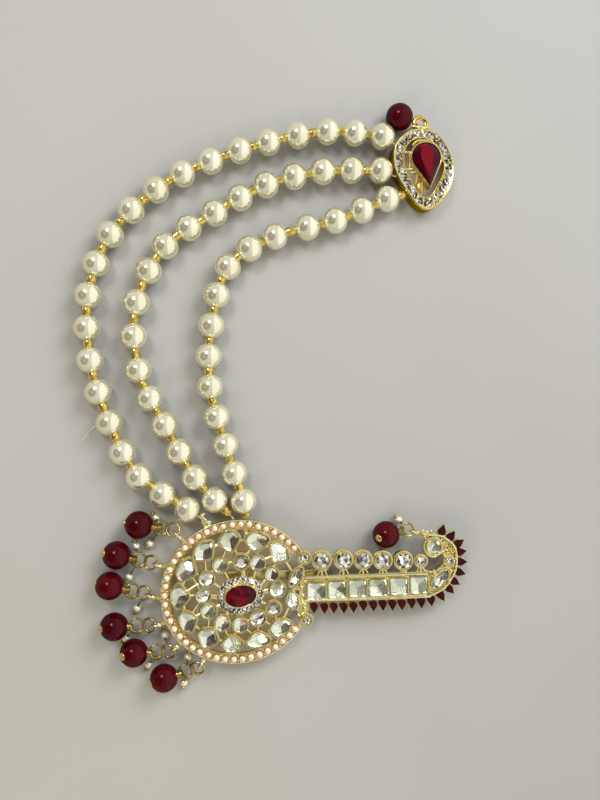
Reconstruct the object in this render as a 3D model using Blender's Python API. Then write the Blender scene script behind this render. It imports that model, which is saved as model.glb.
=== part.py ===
"""Kalgi, a turban ornament lying on its back: pierced disc with a side arm, hung garnet drops,
three strings of pearls and the small clasp that gathers them. Metres, +Z up, resting on Z = 0.
The origin is the middle of the flat foot of the turban pin under the disc. +X runs along the arm
and +Y from the disc to the clasp. Working lengths below are in millimetres until the last step."""
import math

import bmesh
import bpy
from mathutils import Vector

for old in list(bpy.data.objects):
    bpy.data.objects.remove(old, do_unlink=True)

MM = 0.001

# sizes of the whole
DISC_X = -12.5
DISC_Y = -3.7
DISC_R = 20.0
STRAND_SPAN = 110.0
CLASP_X = STRAND_SPAN * 0.39273
CLASP_Y = STRAND_SPAN * 1.11273
SEAT_GAP = 0.3
WELD = 0.02
FLAT_ANGLE = 0.0005

# heights of the casting above the surface it lies on
BACK_Z = 4.6
WEB_T = 0.75
CUP_FLOOR_T = 0.7
CUP_TOP_Z = 6.9
STONE_LOW_Z = BACK_Z + CUP_FLOOR_T + SEAT_GAP
GIRDLE_Z = 6.75
TABLE_Z = 7.75
CUP_WALL = 0.45

# rim of the disc, an oval channel for seed pearls
RIM_LONG = DISC_R * 1.0425
RIM_SHORT = DISC_R * 0.9725
RIM_TURN = 8.2
RIM_HALF = 1.45
RIM_WALL = 0.5
RIM_FLOOR_Z = 5.9
RIM_TOP_Z = 6.5
RIM_FROM = 35.0
RIM_TO = 327.0
RIM_STEPS = 24

# webs that tie the settings together
WEB_WIDTH = 1.1
BUD_SIDES = 6
BUD_TURN = 22.5
BUD_TIP_Z = 7.5
CRYSTAL_TIP_Z = 7.45
SPOKE_FROM = 0.47
SPOKE_TO = 0.74
SPOKE_IN_FROM = 0.22
SPOKE_IN_TO = 0.46

# middle of the disc
OVAL_LONG = DISC_R * 0.2225
OVAL_SHORT = DISC_R * 0.1525
OVAL_TURN = 9.0
OVAL_X = DISC_R * 0.045
OVAL_Y = DISC_R * -0.055
HALO_LONG = DISC_R * 0.295
HALO_SHORT = DISC_R * 0.2275
HALO_EDGE = 0.85
HALO_TOP_Z = 6.8

# side arm
ARM_STONE_W = DISC_R * 0.255
ARM_STONE_H = DISC_R * 0.24
ARM_TOP_Z = 6.9
LENS_LENGTH = DISC_R * 0.37
LENS_WIDTH = DISC_R * 0.165
ROUND_STONE_R = DISC_R * 0.0975
ROUND_STONE_TURN = 15.0
TOOTH_COUNT = 22
TOOTH_LENGTH = 3.7
TOOTH_R = 1.12
TOOTH_Z = 5.75
POST_W = 1.0

# beads, pearls and their wires
PEARL_R = 3.72
PEARL_LONG_SHARE = 0.97
POLE_LAT = 66.0
PEARL_SLICES = [(-66.0, 1.0), (-24.0, 1.07), (24.0, 1.07), (66.0, 1.0)]
THREAD_R = 0.4
THREAD_HOLE_R = 0.75
KNOT_R = 0.85
THREAD_END_Z = 3.1
STRAND_SIDES = 10
BEAD_R = 4.05
BEAD_SIDES = 10
BEAD_RINGS = 7
LINK_R = 1.95
LINK_WIRE = 0.3
LINK_STEP = 3.5
BAIL_R = 0.8
BAIL_WIRE = 0.22
BAIL_OUT = 0.55
EAR_HOLE_R = 0.95
EAR_WIRE = 0.32
EAR_Z = 5.0
LINK_FALL = 22.0
SINGLE_FALL = 14.0

# turban pin
PIN_LENGTH = 30.8
PIN_WIDTH = 2.3
PIN_THICK = 1.6
PIN_POST_SPAN = 18.0

# clasp
CLASP_R = 12.0
CLASP_BACK_TOP_Z = 4.4
CLASP_FRONT_Z = 4.2
CLASP_TOP_Z = 6.0
CLASP_INSET = 0.6
CLASP_WALL = 1.0
PEAR_LENGTH = CLASP_R * 1.075
PEAR_WIDTH = CLASP_R * 0.725
PEAR_TURN = 98.0
PEAR_TIP_X = CLASP_R * 0.16667
PEAR_TIP_Y = CLASP_R * -0.5
PEAR_LOW_Z = 3.9
PEAR_CUP_Z = 3.0
PEAR_CUP_TOP_Z = 6.3
PEAR_GIRDLE_Z = 6.2
PEAR_TABLE_Z = 7.4
BAIL_RING_X = CLASP_R * -0.05
BAIL_RING_Y = CLASP_R * 1.11667
BAIL_RING_R = 1.5
BAIL_RING_WIRE = 0.45
BAIL_RING_Z = 3.6

# stones around the disc, by bearing and reach from its middle; lengths are shares of DISC_R
# name, bearing, reach, lean, length, inner, middle, outer, skew
PETALS = [
    ("petal_stone_01", -177, 0.830, -6, 0.218, 0.038, 0.299, 0.112, 0.003),
    ("petal_stone_02", 155, 0.801, 1, 0.208, 0.039, 0.295, 0.162, 0.011),
    ("petal_stone_03", 129, 0.765, 5, 0.210, 0.051, 0.303, 0.102, -0.007),
    ("petal_stone_04", 99, 0.757, -42, 0.225, 0.208, 0.190, 0.171, 0.006),
    ("petal_stone_05", 69, 0.783, 18, 0.238, 0.055, 0.306, 0.087, 0.004),
    ("petal_stone_06", 41, 0.815, 7, 0.217, 0.055, 0.290, 0.129, 0.050),
    ("petal_stone_07", -44, 0.830, 11, 0.195, 0.161, 0.230, 0.137, 0.103),
    ("petal_stone_08", -67, 0.765, -17, 0.173, 0.058, 0.290, 0.128, 0.000),
    ("petal_stone_09", -97, 0.775, 48, 0.180, 0.166, 0.202, 0.177, 0.040),
    ("petal_stone_10", -123, 0.777, -37, 0.207, 0.160, 0.230, 0.172, -0.010),
    ("petal_stone_11", -151, 0.814, -9, 0.196, 0.051, 0.261, 0.146, 0.009),
]

# pointed stones between disc and arm; name, bearing, reach, turn, length, width
LEAVES = [
    ("leaf_stone_1", 12.5, 0.875, 60.0, 0.340, 0.125),
    ("leaf_stone_2", -10.5, 0.815, 103.0, 0.270, 0.150),
]

# small round stones of the inner ring, one with the casting; bearing, reach, radius
BUDS = [
    (83, 0.440, 0.098), (55, 0.505, 0.098), (26, 0.553, 0.088), (2, 0.583, 0.103),
    (-26, 0.584, 0.090), (-53, 0.487, 0.103), (-86, 0.481, 0.100), (-117, 0.499, 0.103),
    (-148, 0.494, 0.103), (-175, 0.500, 0.093), (156, 0.490, 0.100), (123, 0.468, 0.098),
]

# stones of the arm's channel; place from the disc's middle, as shares of DISC_R; name, x, y
ARM_STONES = [
    ("arm_stone_1", 1.150, -0.020), ("arm_stone_2", 1.460, -0.006), ("arm_stone_3", 1.770, 0.004),
    ("arm_stone_4", 2.080, 0.010), ("arm_stone_5", 2.390, 0.016), ("arm_stone_6", 2.700, 0.026),
]
LENS = ("lens_stone", 3.035, 0.105, 46.0)
ROUND_STONE = ("round_stone", 2.935, 0.590)

# small crystals, one with the casting; x, y, radius of the setting, post foot x or none
CRYSTALS = [
    (0.975, 0.475, 0.100, None), (1.235, 0.430, 0.142, 1.250), (1.560, 0.430, 0.140, 1.570),
    (1.855, 0.420, 0.140, 1.870), (2.155, 0.405, 0.140, 2.165), (2.470, 0.390, 0.140, 2.480),
    (2.740, 0.378, 0.095, 2.745), (1.010, -0.435, 0.092, None), (3.170, 0.365, 0.080, None),
]

# outer edge of the arm from the lower root round the curl to the hook, then the inner edge back
ARM_OUTER = [
    (0.985, -0.18), (2.86, -0.17), (3.05, -0.10), (3.18, 0.01), (3.265, 0.16), (3.295, 0.33),
    (3.28, 0.51), (3.195, 0.67), (3.05, 0.765), (2.875, 0.785), (2.76, 0.800),
]
ARM_INNER = [
    (2.73, 0.755), (2.80, 0.700), (2.77, 0.590), (2.825, 0.465), (2.94, 0.425), (3.05, 0.480),
    (3.095, 0.400), (3.06, 0.315), (2.98, 0.262), (2.85, 0.230), (0.985, 0.195),
]
TOOTH_FROM = 0.14
TOOTH_TO = 0.32

# short bars that tie disc, arm and single crystals; x, y to x, y, width
TIES = [
    (0.91, 0.58, 0.98, 0.47, 0.06), (0.98, 0.47, 0.93, 0.33, 0.06), (0.90, -0.55, 1.01, -0.43, 0.06),
    (1.01, -0.43, 1.01, -0.15, 0.09), (0.78, 0.012, 1.02, 0.012, 0.07), (0.99, 0.475, 1.235, 0.43, 0.05),
]

# hung drops; number, foot x, y and ear x, y as shares of DISC_R from its middle, bearing from ring to
# bead, distance between them as a share of the chain's reach, and count of rings
DROPS = [
    ("1", -0.745, 0.690, -0.8710, 0.8365, 171.3, 0.9865, 2),
    ("2", -0.960, 0.345, -1.1597, 0.4076, 166.7, 1.0000, 2),
    ("3", -1.060, -0.105, -1.2605, -0.0347, 166.8, 1.0000, 2),
    ("4", -1.000, -0.440, -1.1778, -0.4601, -178.9, 1.0000, 2),
    ("5", -0.770, -0.715, -0.9145, -0.8103, -178.9, 0.9952, 2),
    ("6", -0.450, -0.925, -0.5259, -1.0448, -165.1, 1.0000, 2),
    ("7", 2.760, 0.775, 2.6455, 0.8088, -167.6, 1.0000, 1),
]
CLASP_BEAD_X = CLASP_R * -0.575
CLASP_BEAD_Y = CLASP_R * 1.25

# pearl strings from clasp to disc: points between a string's two end pearls, as shares of the straight
# line between them, along it and out to its side
ROUTES = {
    "pearl_string_outer": [
        (0.0560, 0.1203), (0.1508, 0.2333), (0.2583, 0.3307), (0.3763, 0.4066), (0.5197, 0.4496), (0.6654, 0.4288),
        (0.7984, 0.3533), (0.9044, 0.2492), (0.9805, 0.1370),
    ],
    "pearl_string_middle": [
        (0.0770, 0.1349), (0.1853, 0.2563), (0.3226, 0.3462), (0.4603, 0.4191), (0.6295, 0.4167), (0.7810, 0.3347),
        (0.8803, 0.2072), (0.9694, 0.0749),
    ],
    "pearl_string_inner": [
        (0.1285, 0.1104), (0.2550, 0.2522), (0.3987, 0.3382), (0.5763, 0.3067), (0.7388, 0.2337), (0.8741, 0.1189),
    ],
}

# pearls along each string in runs of even pitch; count of gaps, pitch as a share of the pearl's width
RUNS = {
    "pearl_string_outer": [(2, 1.129), (6, 1.216), (9, 1.260), (3, 1.142)],
    "pearl_string_middle": [(9, 1.178), (3, 1.327), (5, 1.188)],
    "pearl_string_inner": [(3, 1.165), (1, 1.344), (2, 1.136), (5, 1.207), (3, 1.165)],
}

# where each thread goes through the clasp's wall; x, y as shares of CLASP_R from its middle, bearing out of
# the end pearl, then shares of PEARL_R from that pearl's middle: length of spacer, wall, knot
CLASP_ENDS = {
    "pearl_string_outer": (-0.5938, 0.5349, -25.5, 0.0, 1.505, 1.989),
    "pearl_string_middle": (-0.5887, -0.2520, -15.7, 0.0, 1.613, 2.124),
    "pearl_string_inner": (-0.2989, -0.6360, 17.6, 0.511, 1.989, 2.661),
}

# the same at the disc's lugs, x, y as shares of DISC_R from its middle
DISC_ENDS = {
    "pearl_string_outer": (-0.4981, 1.0372, -34.8, 0.0, 1.505, 1.962),
    "pearl_string_middle": (-0.0322, 1.0207, -45.8, 0.672, 2.312, 2.769),
    "pearl_string_inner": (0.1443, 0.9757, -80.8, 0.296, 1.774, 2.231),
}

# clasp outline about its middle; bearing, outer and inner reach as shares of CLASP_R
CLASP_EDGE = [
    (90, 0.933, 0.708), (112, 0.950, 0.692), (135, 0.908, 0.625), (157, 0.833, 0.533), (180, 0.750, 0.475),
    (203, 0.713, 0.450), (225, 0.733, 0.475), (245, 0.825, 0.567), (260, 0.975, 0.692), (274, 1.092, 0.792),
    (288, 1.050, 0.717), (305, 0.942, 0.600), (327, 0.858, 0.542), (352, 0.800, 0.533), (380, 0.775, 0.542),
    (408, 0.825, 0.583), (430, 0.900, 0.650),
]

# bars from the pear's setting to the clasp frame; bearing, inner and outer reach of CLASP_R
CLASP_STRUTS = [(96, 0.62, 0.80), (18, 0.485, 0.66), (163, 0.33, 0.60), (196, 0.235, 0.55), (268, 0.38, 0.86)]


def material(name, colour, roughness, metallic, transmission=0.0):
    made = bpy.data.materials.new(name)
    made.use_nodes = True
    shader = made.node_tree.nodes["Principled BSDF"]
    shader.inputs["Base Color"].default_value = (*colour, 1.0)
    shader.inputs["Roughness"].default_value = roughness
    shader.inputs["Metallic"].default_value = metallic
    shader.inputs["Transmission Weight"].default_value = transmission
    made.diffuse_color = (*colour, 1.0)
    made.roughness = roughness
    made.metallic = metallic
    return made


PALE_GOLD = ("pale_gold", (0.80, 0.68, 0.42), 0.28, 1.0)
CLASP_GOLD = ("clasp_gold", (0.80, 0.58, 0.24), 0.25, 1.0)
DARK_BRASS = ("dark_brass", (0.42, 0.31, 0.12), 0.35, 1.0)
CLEAR_STONE = ("clear_stone", (0.78, 0.80, 0.74), 0.06, 0.0)
GARNET = ("garnet", (0.16, 0.004, 0.012), 0.08, 0.0)
PEARL = ("pearl", (0.86, 0.82, 0.66), 0.2, 0.0)


def at(bearing, reach):
    turn = math.radians(bearing)
    return reach * math.cos(turn), reach * math.sin(turn)


def oval(long_r, short_r, turn, count, x=0.0, y=0.0):
    out = []
    for step in range(count):
        u, v = at(360.0 * step / count, 1.0)
        c, s = at(turn, 1.0)
        out.append((x + long_r * u * c - short_r * v * s, y + long_r * u * s + short_r * v * c))
    return out


def moved(points, x, y, turn=0.0):
    c, s = at(turn, 1.0)
    return [(x + px * c - py * s, y + px * s + py * c) for px, py in points]


def shrunk(points, share):
    x = sum(p[0] for p in points) / len(points)
    y = sum(p[1] for p in points) / len(points)
    return [(x + (p[0] - x) * share, y + (p[1] - y) * share) for p in points]


def grown(points, by):
    """Offset a counter-clockwise outline outwards by a distance, with short mitres."""
    out = []
    for i, p in enumerate(points):
        a = Vector(points[i - 1])
        b = Vector(p)
        c = Vector(points[(i + 1) % len(points)])
        first = (b - a).normalized()
        second = (c - b).normalized()
        n1 = Vector((first.y, -first.x))
        n2 = Vector((second.y, -second.x))
        middle = (n1 + n2).normalized()
        stretch = min(1.0 / max(middle.dot(n1), 0.2), 1.7)
        out.append(tuple(b + middle * by * stretch))
    return out


def level(points, z):
    return [(x, y, z) for x, y in points]


def loft(rings, closed=False):
    """Skin through rings of equal count, capped at both ends unless it closes on itself."""
    count = len(rings[0])
    verts = [v for ring in rings for v in ring]
    faces = []
    bands = len(rings) if closed else len(rings) - 1
    for k in range(bands):
        low = k * count
        high = ((k + 1) % len(rings)) * count
        for i in range(count):
            j = (i + 1) % count
            faces.append((low + i, low + j, high + j, high + i))
    if not closed:
        faces.append(tuple(range(count - 1, -1, -1)))
        last = (len(rings) - 1) * count
        faces.append(tuple(range(last, last + count)))
    return verts, faces


def prism(points, z0, z1):
    return loft([level(points, z0), level(points, z1)])


def cup(points, wall, z0, floor, top):
    """Open setting: points is the inside of its wall."""
    outside = grown(points, wall)
    return loft([level(outside, z0), level(outside, top), level(points, top), level(points, floor)])


def gem(points, low, girdle, table, low_share=0.8, table_share=0.52):
    """Cut stone with a flat table."""
    return loft([level(shrunk(points, low_share), low), level(points, girdle),
                 level(shrunk(points, table_share), table)])


def set_stone(points, wall, z0, top, tip):
    """A stone that is one with its setting: wall, glass and table in one skin."""
    outside = grown(points, wall)
    return loft([level(outside, z0), level(outside, top), level(points, top),
                 level(shrunk(points, 0.55), tip)])


def bar(x0, y0, x1, y1, width, z0, z1):
    a = Vector((x0, y0))
    b = Vector((x1, y1))
    side = (b - a).normalized().orthogonal() * (width / 2)
    corners = [a - side, b - side, b + side, a + side]
    if (corners[1] - corners[0]).cross(corners[2] - corners[1]) < 0:
        corners.reverse()
    return prism([tuple(c) for c in corners], z0, z1)


def torus(middle, radius, wire, u, v, steps, sides):
    """Ring through middle + radius u, turning towards v."""
    m, u, v = Vector(middle), Vector(u).normalized(), Vector(v).normalized()
    n = u.cross(v)
    rings = []
    for step in range(steps):
        c, s = at(360.0 * step / steps, 1.0)
        out = u * c + v * s
        ring = []
        for k in range(sides):
            a, b = at(360.0 * k / sides, wire)
            ring.append(tuple(m + out * (radius + a) + n * b))
        rings.append(ring)
    return loft(rings, closed=True)


def tube(stations, sides):
    """Round body through (place, direction, radius) stations."""
    rings = []
    for place, way, radius in stations:
        side = way.cross(Vector((0, 0, 1))).normalized()
        up = side.cross(way).normalized()
        ring = []
        for k in range(sides):
            a, b = at(360.0 * k / sides + 270.0 % (360.0 / sides), radius)
            ring.append(tuple(place + side * a + up * b))
        rings.append(ring)
    return loft(rings)


def ball(middle, radius, sides, rings, way=(1, 0, 0)):
    """Round bead with small flat poles along way."""
    m = Vector(middle)
    w = Vector(way).normalized()
    stations = []
    for k in range(rings):
        lat = -81.0 + 162.0 * k / (rings - 1)
        along, across = math.sin(math.radians(lat)), math.cos(math.radians(lat))
        stations.append((m + w * radius * along, w, radius * across))
    return tube(stations, sides)


def body(name, shells):
    """Mesh object in millimetres from closed shells."""
    mesh = bpy.data.meshes.new(name)
    verts, faces = [], []
    for shell_verts, shell_faces in shells:
        start = len(verts)
        verts += [tuple(v) for v in shell_verts]
        faces += [tuple(start + i for i in face) for face in shell_faces]
    mesh.from_pydata(verts, [], faces)
    built = bmesh.new()
    built.from_mesh(mesh)
    bmesh.ops.recalc_face_normals(built, faces=built.faces)
    built.to_mesh(mesh)
    built.free()
    item = bpy.data.objects.new(name, mesh)
    bpy.context.scene.collection.objects.link(item)
    return item


def joined(first, second, way):
    """Exact solid union or difference of two bodies; the second is used up."""
    step = first.modifiers.new("solid", "BOOLEAN")
    step.solver = "EXACT"
    step.operation = way
    step.object = second
    step.use_self = True
    graph = bpy.context.evaluated_depsgraph_get()
    result = bpy.data.meshes.new_from_object(first.evaluated_get(graph))
    first.modifiers.remove(step)
    first.data = result
    bpy.data.objects.remove(second, do_unlink=True)
    return first


def fused(name, shells, cuts=()):
    item = body(name, shells[:1])
    if len(shells) > 1:
        item = joined(item, body("more", shells[1:]), "UNION")
    if cuts:
        item = joined(item, body("cut", list(cuts)), "DIFFERENCE")
    return item


def finish(item, look, smooth=False, weld=0.004):
    """Clean, move to metres, and give the look."""
    built = bmesh.new()
    built.from_mesh(item.data)
    bmesh.ops.remove_doubles(built, verts=built.verts, dist=weld)
    bmesh.ops.dissolve_degenerate(built, edges=built.edges, dist=0.002)
    flat = [e for e in built.edges if len(e.link_faces) == 2 and e.calc_face_angle(9.0) < FLAT_ANGLE]
    bmesh.ops.dissolve_edges(built, edges=flat, use_verts=False)
    straight = [v for v in built.verts if len(v.link_edges) == 2]
    bmesh.ops.dissolve_verts(built, verts=straight)
    bmesh.ops.triangulate(built, faces=[f for f in built.faces if len(f.verts) > 4])
    bmesh.ops.recalc_face_normals(built, faces=built.faces)
    for v in built.verts:
        v.co *= MM
    for f in built.faces:
        f.smooth = smooth
    built.to_mesh(item.data)
    built.free()
    item.data.name = item.name
    item.data.materials.clear()
    item.data.materials.append(material(item.name + "_" + look[0], *look[1:]))
    return item


def on_disc(x, y):
    return DISC_X + DISC_R * x, DISC_Y + DISC_R * y


def petal_outline(row):
    name, bearing, reach, lean, length, inner, middle, outer, skew = row
    x, y = at(bearing, reach * DISC_R)
    half = length / 2
    corners = [(-half, -inner / 2), (0.08 * length, (skew - middle) / 2), (half, skew - outer / 2),
               (half, skew + outer / 2), (0.08 * length, (skew + middle) / 2), (-half, inner / 2)]
    corners = [(u * DISC_R, v * DISC_R) for u, v in corners]
    return moved(corners, DISC_X + x, DISC_Y + y, bearing + lean)


def leaf_outline(length, width, x, y, turn):
    """Pointed stone outline with eight corners."""
    places = [(0.5, 0.0), (0.27, 0.36), (0.0, 0.5), (-0.27, 0.36), (-0.5, 0.0), (-0.27, -0.36), (0.0, -0.5),
              (0.27, -0.36)]
    return moved([(a * length, b * width) for a, b in places], x, y, turn)


def square_outline(width, height, x, y):
    w, h, c = width / 2, height / 2, min(width, height) * 0.12
    return [(x + a, y + b) for a, b in ((w, -h + c), (w, h - c), (w - c, h), (-w + c, h), (-w, h - c),
                                        (-w, -h + c), (-w + c, -h), (w - c, -h))]


def pear_outline(grow=0.0):
    """Round head and straight sides down to a tip, about the clasp's middle."""
    head = PEAR_WIDTH / 2
    middle = PEAR_LENGTH - head
    lean = math.degrees(math.asin(head / middle))
    points = [(0.0, 0.0)]
    for step in range(10):
        u, v = at(-90.0 - lean * 0.72 + (180.0 + lean * 1.44) * step / 9, head)
        points.append((middle + u, v))
    placed = moved(points, CLASP_X + PEAR_TIP_X, CLASP_Y + PEAR_TIP_Y, PEAR_TURN)
    return grown(placed, grow) if grow else placed


def rim_section(bearing):
    """One slice of the rim's channel, found by bearing on the oval."""
    u, v = at(bearing - RIM_TURN, 1.0)
    c, s = at(RIM_TURN, 1.0)
    middle = Vector((RIM_LONG * u * c - RIM_SHORT * v * s, RIM_LONG * u * s + RIM_SHORT * v * c))
    out = Vector((RIM_SHORT * u * c - RIM_LONG * v * s, RIM_SHORT * u * s + RIM_LONG * v * c)).normalized()
    inner = RIM_HALF - RIM_WALL
    profile = [(RIM_HALF, BACK_Z + 0.1), (RIM_HALF, RIM_TOP_Z), (inner, RIM_FLOOR_Z), (-inner, RIM_FLOOR_Z),
               (-RIM_HALF, RIM_TOP_Z), (-RIM_HALF, BACK_Z + 0.1)]
    return [(DISC_X + middle.x + out.x * d, DISC_Y + middle.y + out.y * d, z) for d, z in profile]


def tooth(x, y, way):
    """Garnet point that stands out of the arm's edge."""
    w = Vector((way[0], way[1], 0.0)).normalized()
    foot = Vector((x, y, TOOTH_Z)) - w * 0.45
    shares = [(0.0, 0.62), (0.45, 1.0), (1.0, 0.1)]
    return tube([(foot + w * TOOTH_LENGTH * a, w, TOOTH_R * r) for a, r in shares], 4)


def along(points, from_start, to_end, count):
    """Places and outward directions at even steps along an open outline."""
    line = [Vector(p) for p in points]
    lengths = [0.0]
    for a, b in zip(line, line[1:]):
        lengths.append(lengths[-1] + (b - a).length)
    first, last = from_start, lengths[-1] - to_end
    out = []
    for step in range(count):
        want = first + (last - first) * step / (count - 1)
        k = max(i for i in range(len(line) - 1) if lengths[i] <= want + 1e-9)
        share = (want - lengths[k]) / (lengths[k + 1] - lengths[k])
        run = (line[k + 1] - line[k]).normalized()
        near = line[min(k + 2, len(line) - 1)] - line[k + 1] if share > 0.5 else line[k] - line[max(k - 1, 0)]
        if near.length > 0:
            run = (run + near.normalized() * abs(share - 0.5)).normalized()
        out.append((line[k].lerp(line[k + 1], share), Vector((run.y, -run.x))))
    return out


def smooth_route(points, steps=24):
    """Even curve through the chosen points."""
    pts = [Vector(p) for p in points]
    ext = [pts[0] * 2 - pts[1]] + pts + [pts[-1] * 2 - pts[-2]]
    out = []
    for k in range(len(pts) - 1):
        p0, p1, p2, p3 = ext[k:k + 4]
        for step in range(steps):
            t = step / steps
            out.append(0.5 * ((2 * p1) + (p2 - p0) * t + (2 * p0 - 5 * p1 + 4 * p2 - p3) * t * t
                              + (3 * p1 - p0 - 3 * p2 + p3) * t ** 3))
    out.append(pts[-1])
    return out


def end_pearl(name, at_disc):
    """Middle of a string's last pearl, found back from the wall that its thread goes through."""
    if at_disc:
        row, x, y, r = DISC_ENDS[name], DISC_X, DISC_Y, DISC_R
    else:
        row, x, y, r = CLASP_ENDS[name], CLASP_X, CLASP_Y, CLASP_R
    u, v = at(row[2], row[4] * PEARL_R)
    return Vector((x + row[0] * r - u, y + row[1] * r - v, PEARL_R + 0.02))


def end_point(middle, row, distance, z):
    u, v = at(row[2], distance)
    return Vector((middle.x + u, middle.y + v, z))


def route_points(name):
    """Places of a string's curve, end pearls included."""
    first, last = end_pearl(name, False), end_pearl(name, True)
    run = last - first
    side = Vector((run.y, -run.x, 0.0))
    return [first] + [first + run * a + side * b for a, b in ROUTES[name]] + [last]


def pearl_string(name):
    """Threaded pearls with tube spacers as one body, knotted beyond the clasp wall and the disc lug."""
    line = smooth_route(route_points(name))
    first, last = CLASP_ENDS[name], DISC_ENDS[name]
    head = end_point(line[0], first, first[5] * PEARL_R + 0.9, THREAD_END_Z)
    tail = end_point(line[-1], last, last[5] * PEARL_R + 0.9, THREAD_END_Z)
    lead, trail = (line[0] - head).length, (tail - line[-1]).length
    path = [head] + line + [tail]
    lengths = [0.0]
    for a, b in zip(path, path[1:]):
        lengths.append(lengths[-1] + (b - a).length)
    total = lengths[-1]

    def place(s):
        s = min(max(s, 0.0), total)
        k = 0
        while k < len(path) - 2 and lengths[k + 1] < s:
            k += 1
        return path[k].lerp(path[k + 1], (s - lengths[k]) / (lengths[k + 1] - lengths[k]))

    width = PEARL_R * 2
    gaps = [pitch * width for count, pitch in RUNS[name] for _ in range(int(count))]
    fit = (total - lead - trail) / sum(gaps)
    middles = [lead]
    for gap in gaps:
        middles.append(middles[-1] + gap * fit)
    half = PEARL_R * PEARL_LONG_SHARE
    pole = half * math.sin(math.radians(POLE_LAT))
    spacer_r = PEARL_R * math.cos(math.radians(POLE_LAT))
    marks = [(0.05, KNOT_R * 0.6), (0.6, KNOT_R), (1.3, THREAD_R)]
    if first[3]:
        spacer = lead - half - first[3] * PEARL_R
        marks += [(spacer, THREAD_R), (spacer + 0.02, spacer_r)]
    else:
        marks += [(lead - pole - 0.02, THREAD_R)]
    for s in middles:
        for lat, full in PEARL_SLICES:
            turn = math.radians(lat)
            marks.append((s + half * math.sin(turn), PEARL_R * math.cos(turn) * full))
    if last[3]:
        spacer = total - trail + half + last[3] * PEARL_R
        marks += [(spacer - 0.02, spacer_r), (spacer, THREAD_R)]
    else:
        marks += [(total - trail + pole + 0.02, THREAD_R)]
    marks += [(total - 1.3, THREAD_R), (total - 0.6, KNOT_R), (total - 0.05, KNOT_R * 0.6)]
    stations = []
    for s, radius in marks:
        reach = 0.4 if s < lead - pole or s > total - trail + pole else 1.2
        low, high = max(s - reach, 0.0), min(s + reach, total)
        stations.append((place(s), (place(high) - place(low)).normalized(), radius))
    return finish(body(name, [tube(stations, STRAND_SIDES)]), PEARL, smooth=True)


def thread_bore(middle, row, before, after):
    """Cutter for a thread's hole, along the thread from before to after the wall."""
    wall = row[4] * PEARL_R
    full = row[5] * PEARL_R + 0.9
    a = end_point(middle, row, wall - before, middle.z + (THREAD_END_Z - middle.z) * (wall - before) / full)
    b = end_point(middle, row, wall + after, middle.z + (THREAD_END_Z - middle.z) * (wall + after) / full)
    way = (b - a).normalized()
    return tube([(a, way, THREAD_HOLE_R), (b, way, THREAD_HOLE_R)], 8)


def thread_lug(name):
    """Small upright eye under the rim that a string's thread ends in."""
    row = DISC_ENDS[name]
    x, y = on_disc(row[0], row[1])
    u, v = at(row[2] + 90.0, 1.25)
    shells = [bar(x - u, y - v, x + u, y + v, 1.1, 1.9, 5.3)]
    inward = Vector((DISC_X - x, DISC_Y - y)).normalized()
    shells.append(bar(x, y, x + inward.x * 3.0, y + inward.y * 3.0, 1.5, 4.75, 5.45))
    return shells


def drop_parts(row):
    """Directions and places of one hung drop: ear, two rings and the bead's bail."""
    number, foot_x, foot_y, ear_x, ear_y, lie, stretch, rings = row
    foot = Vector(on_disc(foot_x, foot_y))
    ear = Vector(on_disc(ear_x, ear_y))
    away = (ear - foot).normalized()
    fall = math.radians(LINK_FALL if rings > 1 else SINGLE_FALL)
    ring = ear + away * LINK_R * math.cos(fall)
    to_bead = Vector(at(lie, 1.0))
    reach = BEAD_R + BAIL_OUT + LINK_R + (LINK_STEP if rings > 1 else 0.0)
    bead = ring + to_bead * reach * stretch
    ring_one = Vector((ring.x, ring.y, EAR_Z - LINK_R * math.sin(fall)))
    slope_one = Vector((away.x * math.cos(fall), away.y * math.cos(fall), -math.sin(fall)))
    bail = bead - to_bead * (BEAD_R + BAIL_OUT)
    ring_two = Vector((bail.x - to_bead.x * LINK_R, bail.y - to_bead.y * LINK_R, BEAD_R - 0.25))
    slope_two = Vector((to_bead.x, to_bead.y, 0.12)).normalized()
    return foot, ear, away, ring_one, slope_one, ring_two, slope_two, bead, to_bead, bail


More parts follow.
